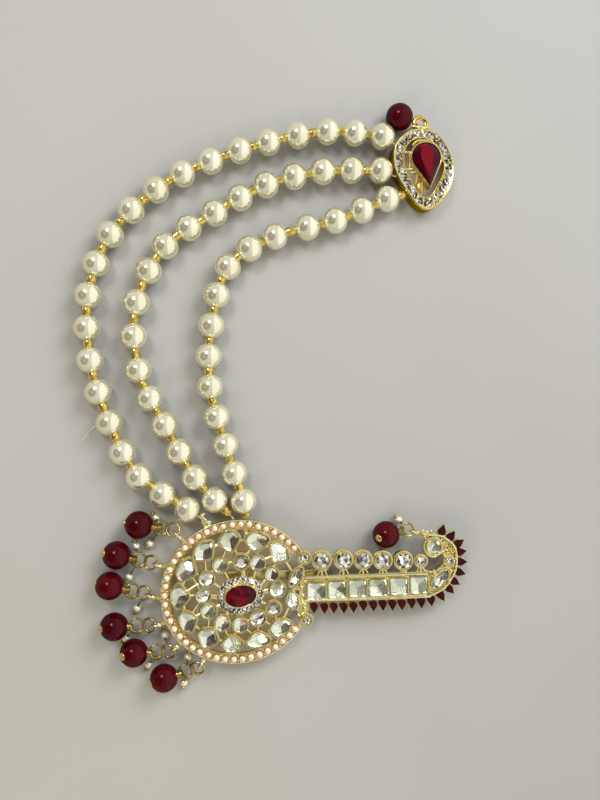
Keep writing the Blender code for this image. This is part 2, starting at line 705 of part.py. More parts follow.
def kalgi_setting():
    shells = []
    steps = [rim_section(RIM_FROM + (RIM_TO - RIM_FROM) * k / RIM_STEPS) for k in range(RIM_STEPS + 1)]
    shells.append(loft(steps))
    web_z = BACK_Z + 0.15
    outer_ring = sorted([(row[1], row[2]) for row in PETALS] + [(row[1], row[2]) for row in LEAVES])
    inner_ring = sorted([(row[0], row[1]) for row in BUDS])
    for ring, drop in ((outer_ring, 0.0), (inner_ring, 0.04)):
        places = [at(bearing, reach * DISC_R) for bearing, reach in ring]
        for (x0, y0), (x1, y1) in zip(places, places[1:] + places[:1]):
            shells.append(bar(DISC_X + x0, DISC_Y + y0, DISC_X + x1, DISC_Y + y1, WEB_WIDTH, web_z - drop,
                              web_z + WEB_T - drop))
    for row in PETALS[::3]:
        x0, y0 = at(row[1], SPOKE_FROM * DISC_R)
        x1, y1 = at(row[1], SPOKE_TO * DISC_R)
        shells.append(bar(DISC_X + x0, DISC_Y + y0, DISC_X + x1, DISC_Y + y1, WEB_WIDTH, web_z + 0.03,
                          web_z + WEB_T - 0.02))
    for row in PETALS:
        shells.append(cup(grown(petal_outline(row), SEAT_GAP), CUP_WALL, BACK_Z, BACK_Z + CUP_FLOOR_T, CUP_TOP_Z))
    for bearing, reach, radius in BUDS[::3]:
        x0, y0 = at(bearing, SPOKE_IN_FROM * DISC_R)
        x1, y1 = at(bearing, SPOKE_IN_TO * DISC_R)
        shells.append(bar(DISC_X + x0, DISC_Y + y0, DISC_X + x1, DISC_Y + y1, WEB_WIDTH, web_z + 0.06,
                          web_z + WEB_T - 0.08))
    for bearing, reach, radius in BUDS:
        x, y = at(bearing, reach * DISC_R)
        glass = oval(radius * DISC_R, radius * DISC_R, BUD_TURN, BUD_SIDES, DISC_X + x, DISC_Y + y)
        shells.append(set_stone(glass, 0.55, BACK_Z + 0.02, CUP_TOP_Z - 0.1, BUD_TIP_Z))
    for name, bearing, reach, turn, length, width in LEAVES:
        x, y = at(bearing, reach * DISC_R)
        outline = leaf_outline(length * DISC_R, width * DISC_R, DISC_X + x, DISC_Y + y, turn)
        shells.append(cup(grown(outline, SEAT_GAP), CUP_WALL, BACK_Z + 0.01, BACK_Z + CUP_FLOOR_T, CUP_TOP_Z + 0.05))
    oval_x, oval_y = DISC_X + OVAL_X, DISC_Y + OVAL_Y
    halo_out = oval(HALO_LONG + HALO_EDGE + 0.15, HALO_SHORT + HALO_EDGE + 0.15, OVAL_TURN, 16, oval_x, oval_y)
    halo_in = oval(HALO_LONG - HALO_EDGE, HALO_SHORT - HALO_EDGE, OVAL_TURN, 16, oval_x, oval_y)
    stone = oval(OVAL_LONG + SEAT_GAP, OVAL_SHORT + SEAT_GAP, OVAL_TURN, 16, oval_x, oval_y)
    shells.append(loft([level(halo_out, BACK_Z - 0.05), level(halo_out, HALO_TOP_Z), level(halo_in, HALO_TOP_Z),
                        level(halo_in, CUP_TOP_Z + 0.5), level(stone, CUP_TOP_Z + 0.5),
                        level(stone, BACK_Z + CUP_FLOOR_T)]))
    outer = [on_disc(x, y) for x, y in ARM_OUTER]
    inner = [on_disc(x, y) for x, y in ARM_INNER]
    whole = outer + inner
    shells.append(prism(grown(whole, -0.12), BACK_Z + 0.05, BACK_Z + CUP_FLOOR_T))
    shells.append(prism(whole, BACK_Z + CUP_FLOOR_T - 0.15, ARM_TOP_Z))
    edge = along(outer, TOOTH_FROM * DISC_R, TOOTH_TO * DISC_R, TOOTH_COUNT)
    for place, way in edge:
        shells.append(tooth(place.x, place.y, way))
    for x, y, radius, post in CRYSTALS:
        cx, cy = on_disc(x, y)
        glass = oval(radius * DISC_R - 0.6, radius * DISC_R - 0.6, BUD_TURN, BUD_SIDES, cx, cy)
        shells.append(set_stone(glass, 0.6, BACK_Z + 0.2, CUP_TOP_Z - 0.05 + (0.25 if x > 3 else 0.0), CRYSTAL_TIP_Z))
        if post:
            px, py = on_disc(post, 0.17)
            shells.append(bar(px, py, cx, cy, POST_W, BACK_Z + 0.5, 6.2))
    for x0, y0, x1, y1, width in TIES:
        a, b = on_disc(x0, y0), on_disc(x1, y1)
        shells.append(bar(*a, *b, width * DISC_R, BACK_Z + 0.12, BACK_Z + CUP_FLOOR_T - 0.06))
    cuts = []
    for name, x, y in ARM_STONES:
        cx, cy = on_disc(x, y)
        w, h = ARM_STONE_W / 2 + SEAT_GAP, ARM_STONE_H / 2 + SEAT_GAP
        opening = [(cx - w, cy - h), (cx + w, cy - h), (cx + w, cy + h), (cx - w, cy + h)]
        cuts.append(prism(opening, BACK_Z + CUP_FLOOR_T, ARM_TOP_Z + 1.0))
    name, x, y, turn = LENS
    cuts.append(prism(grown(leaf_outline(LENS_LENGTH, LENS_WIDTH, *on_disc(x, y), turn), SEAT_GAP),
                      BACK_Z + CUP_FLOOR_T, ARM_TOP_Z + 1.0))
    name, x, y = ROUND_STONE
    cx, cy = on_disc(x, y)
    seat = oval(ROUND_STONE_R + SEAT_GAP, ROUND_STONE_R + SEAT_GAP, ROUND_STONE_TURN, 12, cx, cy)
    shells.append(prism(grown(seat, 0.75), BACK_Z + 0.3, ARM_TOP_Z + 0.2))
    cuts.append(prism(seat, BACK_Z + CUP_FLOOR_T, ARM_TOP_Z + 1.0))
    for row in DROPS:
        foot, ear, away = drop_parts(row)[:3]
        shells.append(bar(foot.x - away.x * 0.4, foot.y - away.y * 0.4, ear.x - away.x * (EAR_HOLE_R + 0.1),
                          ear.y - away.y * (EAR_HOLE_R + 0.1), 1.0, EAR_Z - 0.28, EAR_Z + 0.5))
        middle = (ear.x, ear.y, EAR_Z)
        shells.append(torus(middle, EAR_HOLE_R + EAR_WIRE * 0.5, EAR_WIRE, (away.x, away.y, 0), (0, 0, 1), 6, 4))
    for name in ROUTES:
        shells += thread_lug(name)
        cuts.append(thread_bore(end_pearl(name, True), DISC_ENDS[name], 1.3, 1.3))
    return finish(fused("kalgi_setting", shells, cuts), PALE_GOLD, weld=WELD)


def clasp_setting():
    outside = moved([at(b, o * CLASP_R) for b, o, i in CLASP_EDGE], CLASP_X, CLASP_Y)
    inside = moved([at(b, i * CLASP_R) for b, o, i in CLASP_EDGE], CLASP_X, CLASP_Y)
    count = len(outside)

    def frame(out_edge, in_edge, z0, z1):
        return loft([[(*out_edge[i], z0), (*out_edge[i], z1), (*in_edge[i], z1), (*in_edge[i], z0)]
                     for i in range(count)], closed=True)

    shells = [frame(outside, inside, CLASP_FRONT_Z, CLASP_TOP_Z)]
    back_out = grown(outside, -CLASP_INSET)
    back_in = grown(outside, -CLASP_INSET - CLASP_WALL)
    shells.append(frame(back_out, back_in, 0.0, CLASP_BACK_TOP_Z))
    shells.append(cup(pear_outline(SEAT_GAP), 0.6, PEAR_CUP_Z, PEAR_LOW_Z - SEAT_GAP, PEAR_CUP_TOP_Z))
    for bearing, near, far in CLASP_STRUTS:
        x0, y0 = at(bearing, near * CLASP_R)
        x1, y1 = at(bearing, far * CLASP_R)
        shells.append(bar(CLASP_X + x0, CLASP_Y + y0, CLASP_X + x1, CLASP_Y + y1, 0.9, 4.45, 5.35))
    ring_x, ring_y = CLASP_X + BAIL_RING_X, CLASP_Y + BAIL_RING_Y
    shells.append(torus((ring_x, ring_y, BAIL_RING_Z), BAIL_RING_R, BAIL_RING_WIRE, (0, -1, 0), (1, 0, 0), 10, 5))
    shells.append(bar(ring_x - 2.0, ring_y - 2.2, ring_x + 2.0, ring_y - 2.2, 1.5, 2.9, 5.0))
    cuts = []
    for name in ROUTES:
        cuts.append(thread_bore(end_pearl(name, False), CLASP_ENDS[name], 1.3, 1.7))
    return finish(fused("clasp_setting", shells, cuts), CLASP_GOLD, weld=WELD)


def turban_pin():
    half = PIN_LENGTH / 2
    slab = [(-half, -PIN_WIDTH / 2), (half - 1.6, -PIN_WIDTH / 2), (half, PIN_WIDTH / 2), (-half, PIN_WIDTH / 2)]
    shells = [prism(slab, 0.0, PIN_THICK)]
    for x in (-PIN_POST_SPAN / 2 - 1.5, PIN_POST_SPAN / 2):
        shells.append(bar(x - 1.2, 0.0, x + 1.2, 0.0, PIN_WIDTH * 0.7, PIN_THICK - 0.3, BACK_Z - SEAT_GAP))
    return finish(fused("turban_pin", shells), PALE_GOLD)


def garnet_bead(name, x, y, to_bead, bail):
    way = (to_bead.x, to_bead.y, 0.0) if bail else (1.0, 0.3, 0.0)
    shells = [ball((x, y, BEAD_R), BEAD_R, BEAD_SIDES, BEAD_RINGS, way)]
    if bail:
        shells.append(torus((bail.x, bail.y, BEAD_R), BAIL_R, BAIL_WIRE, way, (0, 0, 1), 6, 5))
    return finish(fused(name, shells), GARNET, smooth=True)


def drop_links(row):
    foot, ear, away, ring_one, slope_one, ring_two, slope_two, bead, to_bead, bail = drop_parts(row)
    side_one = Vector((-away.y, away.x, 0.0))
    side_two = Vector((-to_bead.y, to_bead.x, 0.0))
    shells = [torus(ring_one, LINK_R, LINK_WIRE, slope_one, side_one, 10, 5)]
    if row[7] > 1:
        shells.append(torus(ring_two, LINK_R, LINK_WIRE, slope_two, side_two, 10, 5))
    return finish(fused("drop_links_" + row[0], shells), DARK_BRASS, smooth=True)


kalgi_setting()
turban_pin()
clasp_setting()
for petal in PETALS:
    finish(body(petal[0], [gem(petal_outline(petal), STONE_LOW_Z, GIRDLE_Z, TABLE_Z)]), CLEAR_STONE)
for leaf in LEAVES:
    leaf_x, leaf_y = at(leaf[1], leaf[2] * DISC_R)
    shape = leaf_outline(leaf[4] * DISC_R, leaf[5] * DISC_R, DISC_X + leaf_x, DISC_Y + leaf_y, leaf[3])
    finish(body(leaf[0], [gem(shape, STONE_LOW_Z, GIRDLE_Z, TABLE_Z - 0.1)]), CLEAR_STONE)
shape = oval(OVAL_LONG, OVAL_SHORT, OVAL_TURN, 16, DISC_X + OVAL_X, DISC_Y + OVAL_Y)
finish(body("oval_garnet", [gem(shape, STONE_LOW_Z, 7.2, 8.3)]), GARNET)
for square in ARM_STONES:
    shape = square_outline(ARM_STONE_W, ARM_STONE_H, *on_disc(square[1], square[2]))
    finish(body(square[0], [gem(shape, STONE_LOW_Z, GIRDLE_Z, TABLE_Z - 0.1, 0.85, 0.6)]), CLEAR_STONE)
shape = leaf_outline(LENS_LENGTH, LENS_WIDTH, *on_disc(LENS[1], LENS[2]), LENS[3])
finish(body(LENS[0], [gem(shape, STONE_LOW_Z, GIRDLE_Z, TABLE_Z)]), CLEAR_STONE)
shape = oval(ROUND_STONE_R, ROUND_STONE_R, ROUND_STONE_TURN, 12, *on_disc(ROUND_STONE[1], ROUND_STONE[2]))
finish(body(ROUND_STONE[0], [gem(shape, STONE_LOW_Z, GIRDLE_Z + 0.2, TABLE_Z + 0.2)]), CLEAR_STONE)
finish(body("pear_garnet", [gem(pear_outline(), PEAR_LOW_Z, PEAR_GIRDLE_Z, PEAR_TABLE_Z, 0.7, 0.55)]), GARNET)
for string_name in ROUTES:
    pearl_string(string_name)
for drop in DROPS:
    parts = drop_parts(drop)
    drop_links(drop)
    garnet_bead("garnet_bead_" + drop[0], parts[7].x, parts[7].y, parts[8], parts[9])
garnet_bead("garnet_bead_8", CLASP_X + CLASP_BEAD_X, CLASP_Y + CLASP_BEAD_Y, None, None)
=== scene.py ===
"""Kalgi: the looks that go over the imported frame. The shapes here work in millimetres in the frame's own
axes and become metres when a piece is finished."""

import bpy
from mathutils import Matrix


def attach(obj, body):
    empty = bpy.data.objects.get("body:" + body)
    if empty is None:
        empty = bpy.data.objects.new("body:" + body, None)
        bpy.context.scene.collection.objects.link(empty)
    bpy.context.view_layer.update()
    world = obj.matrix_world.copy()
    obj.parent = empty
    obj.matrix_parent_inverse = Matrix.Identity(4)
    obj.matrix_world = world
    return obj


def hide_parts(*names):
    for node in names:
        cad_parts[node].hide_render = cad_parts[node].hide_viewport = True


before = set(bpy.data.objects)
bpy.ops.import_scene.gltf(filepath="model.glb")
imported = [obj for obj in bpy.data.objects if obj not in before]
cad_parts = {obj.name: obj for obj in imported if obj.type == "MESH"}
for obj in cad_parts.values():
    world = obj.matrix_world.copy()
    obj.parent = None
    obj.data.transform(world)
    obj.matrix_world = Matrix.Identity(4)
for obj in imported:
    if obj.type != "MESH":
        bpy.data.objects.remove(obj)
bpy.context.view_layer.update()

import math
import random

import bmesh
import bpy
from mathutils import Matrix, Vector

MM = 0.001
UP = Vector((0.0, 0.0, 1.0))
chance = random.Random(7)

# sizes shared with the frame, in millimetres
DISC_X, DISC_Y, DISC_R = -12.5, -3.7, 20.0
STRAND_SPAN = 110.0
CLASP_X, CLASP_Y, CLASP_R = STRAND_SPAN * 0.39273, STRAND_SPAN * 1.11273, 12.0
BACK_Z, FLOOR_Z, STONE_LOW_Z = 4.6, 5.3, 5.6
CUP_TOP_Z, GIRDLE_Z, TABLE_Z = 6.9, 6.75, 7.75
RIM_LONG, RIM_SHORT, RIM_TURN, RIM_HALF = DISC_R * 1.0425, DISC_R * 0.9725, 8.2, 1.45
RIM_FLOOR_Z, RIM_TOP_Z, RIM_FROM, RIM_TO = 5.9, 6.5, 35.0, 327.0
OVAL_LONG, OVAL_SHORT, OVAL_TURN = DISC_R * 0.2225, DISC_R * 0.1525, 9.0
OVAL_X, OVAL_Y = DISC_X + DISC_R * 0.045, DISC_Y - DISC_R * 0.055
HALO_LONG, HALO_SHORT, HALO_TOP_Z = DISC_R * 0.295, DISC_R * 0.2275, 6.8
ARM_STONE_W, ARM_STONE_H = DISC_R * 0.255, DISC_R * 0.24
LENS_LENGTH, LENS_WIDTH, ROUND_STONE_R = DISC_R * 0.37, DISC_R * 0.165, DISC_R * 0.0975
PEARL_R, BEAD_R = 3.72, 4.05
LINK_R, LINK_WIRE, LINK_STEP, LINK_FALL, SINGLE_FALL = 1.95, 0.3, 3.5, 22.0, 14.0
BAIL_R, BAIL_WIRE, BAIL_OUT = 0.8, 0.22, 0.55
EAR_Z, EAR_HOLE_R, EAR_WIRE = 5.0, 0.95, 0.32
THREAD_R, KNOT_R, THREAD_END_Z = 0.4, 0.85, 3.1
PIN_LENGTH, PIN_WIDTH, PIN_THICK = 30.8, 2.3, 1.6
PEAR_LENGTH, PEAR_WIDTH, PEAR_TURN = CLASP_R * 1.075, CLASP_R * 0.725, 98.0
PEAR_TIP_X, PEAR_TIP_Y = CLASP_X + CLASP_R * 0.16667, CLASP_Y - CLASP_R * 0.5

# stones round the disc: bearing, reach, lean, length, inner, middle, outer, skew, then its facets by
# bearing on the stone and tone of painted light on the foil, from 0 for bright to 2 for dark
PETALS = [
    (-177, 0.830, -6, 0.218, 0.038, 0.299, 0.112, 0.003, ((80, 0), (200, 1), (300, 2))),
    (155, 0.801, 1, 0.208, 0.039, 0.295, 0.162, 0.011, ((60, 0), (150, 1), (280, 2))),
    (129, 0.765, 5, 0.210, 0.051, 0.303, 0.102, -0.007, ((100, 0), (200, 0), (320, 2))),
    (99, 0.757, -42, 0.225, 0.208, 0.190, 0.171, 0.006, ((110, 0), (210, 1), (350, 2))),
    (69, 0.783, 18, 0.238, 0.055, 0.306, 0.087, 0.004, ((150, 0), (20, 2), (260, 1))),
    (41, 0.815, 7, 0.217, 0.055, 0.290, 0.129, 0.050, ((180, 0), (40, 1), (290, 0))),
    (-44, 0.830, 11, 0.195, 0.161, 0.230, 0.137, 0.103, ((120, 0), (220, 0), (340, 1))),
    (-67, 0.765, -17, 0.173, 0.058, 0.290, 0.128, 0.000, ((140, 0), (250, 0), (20, 1))),
    (-97, 0.775, 48, 0.180, 0.166, 0.202, 0.177, 0.040, ((170, 0), (60, 1), (290, 1))),
    (-123, 0.777, -37, 0.207, 0.160, 0.230, 0.172, -0.010, ((110, 0), (210, 0), (310, 2))),
    (-151, 0.814, -9, 0.196, 0.051, 0.261, 0.146, 0.009, ((90, 0), (190, 0), (300, 2))),
]
# pointed stones beside the arm: bearing, reach, turn, length, width, facets
LEAVES = [
    (12.5, 0.875, 60.0, 0.340, 0.125, ((160, 0), (340, 2), (250, 1))),
    (-10.5, 0.815, 103.0, 0.270, 0.150, ((10, 0), (190, 1), (280, 0))),
]
# small round stones: bearing, reach, radius, facets, dark ring
BUDS = [
    (83, 0.440, 0.098, ((90, 0), (270, 0)), 1), (55, 0.505, 0.098, ((150, 0), (330, 2)), 0),
    (26, 0.553, 0.088, ((170, 0), (350, 2)), 0), (2, 0.583, 0.103, ((100, 1), (280, 0)), 0),
    (-26, 0.584, 0.090, ((90, 0), (270, 0)), 1), (-53, 0.487, 0.103, ((120, 0), (300, 2)), 0),
    (-86, 0.481, 0.100, ((180, 0), (0, 2)), 0), (-117, 0.499, 0.103, ((170, 0), (0, 2)), 0),
    (-148, 0.494, 0.103, ((140, 0), (320, 1)), 0), (-175, 0.500, 0.093, ((100, 0), (290, 2)), 0),
    (156, 0.490, 0.100, ((110, 0), (280, 2)), 0), (123, 0.468, 0.098, ((150, 0), (330, 1)), 0),
]
# stones of the arm's channel: x, y, facets
ARM_STONES = [
    (1.150, -0.020, ((95, 0), (190, 0), (275, 0), (340, 1))), (1.460, -0.006, ((100, 0), (205, 0), (300, 0), (352, 1))),
    (1.770, 0.004, ((90, 0), (220, 1), (320, 0))), (2.080, 0.010, ((100, 1), (250, 0), (350, 0))),
    (2.390, 0.016, ((80, 0), (200, 1), (310, 0))), (2.700, 0.026, ((100, 0), (210, 0), (330, 1))),
]
LENS = (3.035, 0.105, 46.0, ((140, 0), (310, 2), (220, 1)))
ROUND_STONE = (2.935, 0.590, ((150, 0), (330, 1)))
# small crystals: x, y, radius of the setting, post foot x or none
CRYSTALS = [
    (0.975, 0.475, 0.100, None), (1.235, 0.430, 0.142, 1.250), (1.560, 0.430, 0.140, 1.570),
    (1.855, 0.420, 0.140, 1.870), (2.155, 0.405, 0.140, 2.165), (2.470, 0.390, 0.140, 2.480),
    (2.740, 0.378, 0.095, 2.745), (1.010, -0.435, 0.092, None), (3.170, 0.365, 0.080, None),
]
ARM_OUTER = [
    (0.985, -0.18), (2.70, -0.175), (2.885, -0.150), (3.02, -0.098), (3.14, -0.012), (3.215, 0.09), (3.28, 0.21),
    (3.305, 0.35), (3.295, 0.50), (3.265, 0.60), (3.175, 0.69), (3.05, 0.765), (2.875, 0.785), (2.76, 0.800),
]
ARM_INNER = [
    (2.73, 0.755), (2.80, 0.700), (2.77, 0.590), (2.825, 0.465), (2.94, 0.425), (3.05, 0.480),
    (3.095, 0.400), (3.06, 0.315), (2.98, 0.262), (2.85, 0.230), (0.985, 0.195),
]
# middles of the garnet points along the arm's edge
TEETH = [
    (1.125, -0.255), (1.280, -0.265), (1.420, -0.265), (1.570, -0.270), (1.715, -0.265), (1.865, -0.250),
    (2.015, -0.255), (2.160, -0.250), (2.305, -0.250), (2.450, -0.250), (2.600, -0.235), (2.750, -0.230),
    (2.900, -0.205), (3.050, -0.145), (3.180, -0.050), (3.255, 0.060), (3.335, 0.195), (3.360, 0.350),
    (3.350, 0.500), (3.320, 0.625), (3.205, 0.730), (3.070, 0.815),
]
# short bars that tie disc, arm and single crystals: x, y to x, y, width
TIES = [
    (0.91, 0.58, 0.98, 0.47, 0.06), (0.98, 0.47, 0.93, 0.33, 0.06), (0.90, -0.55, 1.01, -0.43, 0.06),
    (1.01, -0.43, 1.01, -0.15, 0.09), (0.78, 0.012, 1.02, 0.012, 0.07), (0.99, 0.475, 1.235, 0.43, 0.05),
]
# hung drops: foot x, y, ear x, y, bearing from ring to bead, share of the chain's reach, rings
DROPS = [
    ("1", -0.745, 0.690, -0.8710, 0.8365, 171.3, 0.9865, 2),
    ("2", -0.960, 0.345, -1.1597, 0.4076, 166.7, 1.0000, 2),
    ("3", -1.060, -0.105, -1.2605, -0.0347, 166.8, 1.0000, 2),
    ("4", -1.000, -0.440, -1.1778, -0.4601, -178.9, 1.0000, 2),
    ("5", -0.770, -0.715, -0.9145, -0.8103, -178.9, 0.9952, 2),
    ("6", -0.450, -0.925, -0.5259, -1.0448, -165.1, 1.0000, 2),
    ("7", 2.760, 0.775, 2.6455, 0.8088, -167.6, 1.0000, 1),
]
# how high a bead's pin head sits above the level, in degrees, and turns of wire at its other end
BEAD_LIES = {"1": (-5.0, 7), "2": (22.0, 5), "3": (5.0, 5), "4": (25.0, 3), "5": (42.0, 3), "6": (12.0, 4), "7": (42.0, 5)}
# hung seed pearls: x, y from the disc's middle in shares of its radius, and the drop each hangs by
SEED_DROPS = [
    (-1.185, 1.058, "1"), (-1.270, 0.688, "1"), (-1.470, 0.653, "2"), (-1.570, 0.203, "2"),
    (-1.455, -0.253, "3"), (-1.615, -0.688, "4"), (-1.055, -0.663, "5"), (-1.285, -1.083, "5"),
    (-0.720, -1.003, "6"), (-0.775, -1.368, "6"), (2.460, 0.958, "7"),
]
ROUTES = {
    "outer": [
        (0.0560, 0.1203), (0.1508, 0.2333), (0.2583, 0.3307), (0.3763, 0.4066), (0.5197, 0.4496), (0.6654, 0.4288),
        (0.7984, 0.3533), (0.9044, 0.2492), (0.9805, 0.1370),
    ],
    "middle": [
        (0.0770, 0.1349), (0.1853, 0.2563), (0.3226, 0.3462), (0.4603, 0.4191), (0.6295, 0.4167), (0.7810, 0.3347),
        (0.8803, 0.2072), (0.9694, 0.0749),
    ],
    "inner": [
        (0.1285, 0.1104), (0.2550, 0.2522), (0.3987, 0.3382), (0.5763, 0.3067), (0.7388, 0.2337), (0.8741, 0.1189),
    ],
}
# pearls in runs of even pitch: count of gaps, pitch as a share of the pearl's width
RUNS = {
    "outer": [(2, 1.129), (6, 1.216), (9, 1.260), (3, 1.142)],
    "middle": [(9, 1.178), (3, 1.327), (5, 1.188)],
    "inner": [(3, 1.165), (1, 1.344), (2, 1.136), (5, 1.207), (3, 1.165)],
}
# thread ends: x, y of the wall, bearing, then shares of PEARL_R: spacer, wall, knot
CLASP_ENDS = {
    "outer": (-0.5938, 0.5349, -25.5, 0.0, 1.505, 1.989),
    "middle": (-0.5887, -0.2520, -15.7, 0.0, 1.613, 2.124),
    "inner": (-0.2989, -0.6360, 17.6, 0.511, 1.989, 2.661),
}
DISC_ENDS = {
    "outer": (-0.4981, 1.0372, -34.8, 0.0, 1.505, 1.962),
    "middle": (-0.0322, 1.0207, -45.8, 0.672, 2.312, 2.769),
    "inner": (0.1443, 0.9757, -80.8, 0.296, 1.774, 2.231),
}
# clasp outline about its middle: bearing, outer and inner reach as shares of CLASP_R
CLASP_EDGE = [
    (90, 0.933, 0.708), (112, 0.950, 0.692), (135, 0.908, 0.625), (157, 0.833, 0.533), (180, 0.750, 0.475),
    (203, 0.713, 0.450), (225, 0.733, 0.475), (245, 0.825, 0.567), (260, 0.975, 0.692), (274, 1.092, 0.792),
    (288, 1.050, 0.717), (305, 0.942, 0.600), (327, 0.858, 0.542), (352, 0.800, 0.533), (380, 0.775, 0.542),
    (408, 0.825, 0.583), (430, 0.900, 0.650),
]
# bars across the clasp's opening: ends as shares of CLASP_R
CLASP_STRUTS = [
    (-0.065, 0.617, -0.084, 0.796), (0.461, 0.150, 0.628, 0.204), (-0.500, 0.346, -0.270, 0.346),
    (-0.226, -0.055, -0.500, -0.085), (-0.013, -0.380, -0.030, -0.859), (-0.330, 0.346, -0.330, -0.060),
]


# colour that varies over a surface, shared by the finishes

def make_group(name, numbers, colours, outputs):
    group = bpy.data.node_groups.new(name, "ShaderNodeTree")
    for label in colours:
        group.interface.new_socket(label, in_out="INPUT", socket_type="NodeSocketColor")
    for label in numbers:
        group.interface.new_socket(label, in_out="INPUT", socket_type="NodeSocketFloat")
    for label, kind in outputs:
        group.interface.new_socket(label, in_out="OUTPUT", socket_type=kind)
    nodes = group.nodes
    return group, nodes, group.links, nodes.new("NodeGroupInput"), nodes.new("NodeGroupOutput")


def noise_node(nodes, links, place, scale, detail=3.0, rough=0.55):
    made = nodes.new("ShaderNodeTexNoise")
    made.inputs["Detail"].default_value = detail
    made.inputs["Roughness"].default_value = rough
    links.new(place, made.inputs["Vector"])
    if isinstance(scale, float):
        made.inputs["Scale"].default_value = scale
    else:
        links.new(scale, made.inputs["Scale"])
    return made.outputs["Fac"]


def range_node(nodes, links, value, low, high, new_low=0.0, new_high=1.0):
    made = nodes.new("ShaderNodeMapRange")
    for name, item in (("Value", value), ("From Min", low), ("From Max", high), ("To Min", new_low),
                       ("To Max", new_high)):
        if isinstance(item, float):
            made.inputs[name].default_value = item
        else:
            links.new(item, made.inputs[name])
    return made.outputs["Result"]


def mix_node(nodes, links, share, first, second):
    made = nodes.new("ShaderNodeMix")
    made.data_type = "RGBA"
    for socket, item in ((made.inputs[0], share), (made.inputs[6], first), (made.inputs[7], second)):
        if isinstance(item, float):
            socket.default_value = item
        elif isinstance(item, tuple):
            socket.default_value = (*item, 1.0)
        else:
            links.new(item, socket)
    return made.outputs[2]


def math_node(nodes, links, way, first, second):
    made = nodes.new("ShaderNodeMath")
    made.operation = way
    for socket, item in ((made.inputs[0], first), (made.inputs[1], second)):
        if isinstance(item, float):
            socket.default_value = item
        else:
            links.new(item, socket)
    return made.outputs[0]


def cast_metal_group():
    """Metal with painted light on its crests and painted shade in its low parts, with grain and small wear."""
    group, nodes, links, given, out = make_group(
        "cast_metal", ("Grain Scale", "Low Height", "High Height", "Rough Low", "Rough High"),
        ("Lit Crest", "Body", "Shaded Recess"),
        (("Color", "NodeSocketColor"), ("Roughness", "NodeSocketFloat"), ("Height", "NodeSocketFloat")))
    place = nodes.new("ShaderNodeTexCoord").outputs["Object"]
    split = nodes.new("ShaderNodeSeparateXYZ")
    links.new(place, split.inputs[0])
    grain = noise_node(nodes, links, place, given.outputs["Grain Scale"], 4.0)
    cloud = noise_node(nodes, links, place, 260.0, 2.0)
    # height level paints shade into the low parts and light onto the crests; the cloud adds small wear
    level = range_node(nodes, links, split.outputs["Z"], given.outputs["Low Height"], given.outputs["High Height"])
    shade_and_wear = math_node(nodes, links, "ADD", level, range_node(nodes, links, cloud, 0.3, 0.7, -0.22, 0.22))
    low = mix_node(nodes, links, range_node(nodes, links, shade_and_wear, 0.0, 0.55), given.outputs["Shaded Recess"],
                   given.outputs["Body"])
    full = mix_node(nodes, links, range_node(nodes, links, shade_and_wear, 0.6, 1.05), low, given.outputs["Lit Crest"])
    links.new(full, out.inputs["Color"])
    spread = math_node(nodes, links, "ADD", range_node(nodes, links, grain, 0.3, 0.7),
                       range_node(nodes, links, level, 0.0, 1.0, 0.5, 0.0))
    links.new(range_node(nodes, links, spread, 0.0, 1.5, given.outputs["Rough Low"], given.outputs["Rough High"]),
              out.inputs["Roughness"])
    links.new(grain, out.inputs["Height"])
    return group


def glaze_group():
    """Clear or coloured stone, pearl and glass: two tones in soft clouds, faint ripples and dust."""
    group, nodes, links, given, out = make_group(
        "glaze", ("Cloud Scale", "Rough Low", "Rough High"), ("First", "Second"),
        (("Color", "NodeSocketColor"), ("Roughness", "NodeSocketFloat"), ("Height", "NodeSocketFloat")))
    place = nodes.new("ShaderNodeTexCoord").outputs["Object"]
    cloud = noise_node(nodes, links, place, given.outputs["Cloud Scale"], 2.0)
    fine = noise_node(nodes, links, place, 900.0, 3.0)
    links.new(mix_node(nodes, links, range_node(nodes, links, cloud, 0.35, 0.65), given.outputs["First"],
                       given.outputs["Second"]), out.inputs["Color"])
    links.new(range_node(nodes, links, fine, 0.35, 0.75, given.outputs["Rough Low"], given.outputs["Rough High"]),
              out.inputs["Roughness"])
    links.new(cloud, out.inputs["Height"])
    return group


CAST_METAL = cast_metal_group()
GLAZE = glaze_group()


def finish_with(name, group, values, metallic=0.0, transmission=0.0, ior=1.5, coat=0.0, coat_rough=0.03,
                bump=0.1, depth=0.05, edge=None, specular=0.5, tint=None):
    """Material with one Principled shader fed by a group; edge is a colour seen at grazing angles."""
    made = bpy.data.materials.new(name)
    made.use_nodes = True
    nodes, links = made.node_tree.nodes, made.node_tree.links
    shader = nodes["Principled BSDF"]
    shader.inputs["Metallic"].default_value = metallic
    shader.inputs["Transmission Weight"].default_value = transmission
    shader.inputs["IOR"].default_value = ior
    shader.inputs["Coat Weight"].default_value = coat
    shader.inputs["Coat Roughness"].default_value = coat_rough
    shader.inputs["Specular IOR Level"].default_value = specular
    if tint:
        shader.inputs["Specular Tint"].default_value = (*tint, 1.0)
    use = nodes.new("ShaderNodeGroup")
    use.node_tree = group
    for label, value in values.items():
        use.inputs[label].default_value = (*value, 1.0) if isinstance(value, tuple) else value
    colour = use.outputs["Color"]
    if edge:
        facing = nodes.new("ShaderNodeLayerWeight")
        facing.inputs["Blend"].default_value = edge[1]
        colour = mix_node(nodes, links, range_node(nodes, links, facing.outputs["Facing"], edge[2], 1.0),
                          colour, edge[0])
    links.new(colour, shader.inputs["Base Color"])
    links.new(use.outputs["Roughness"], shader.inputs["Roughness"])
    rise = nodes.new("ShaderNodeBump")
    rise.inputs["Strength"].default_value = bump
    rise.inputs["Distance"].default_value = depth * MM
    links.new(use.outputs["Height"], rise.inputs["Height"])
    links.new(rise.outputs["Normal"], shader.inputs["Normal"])
    return made


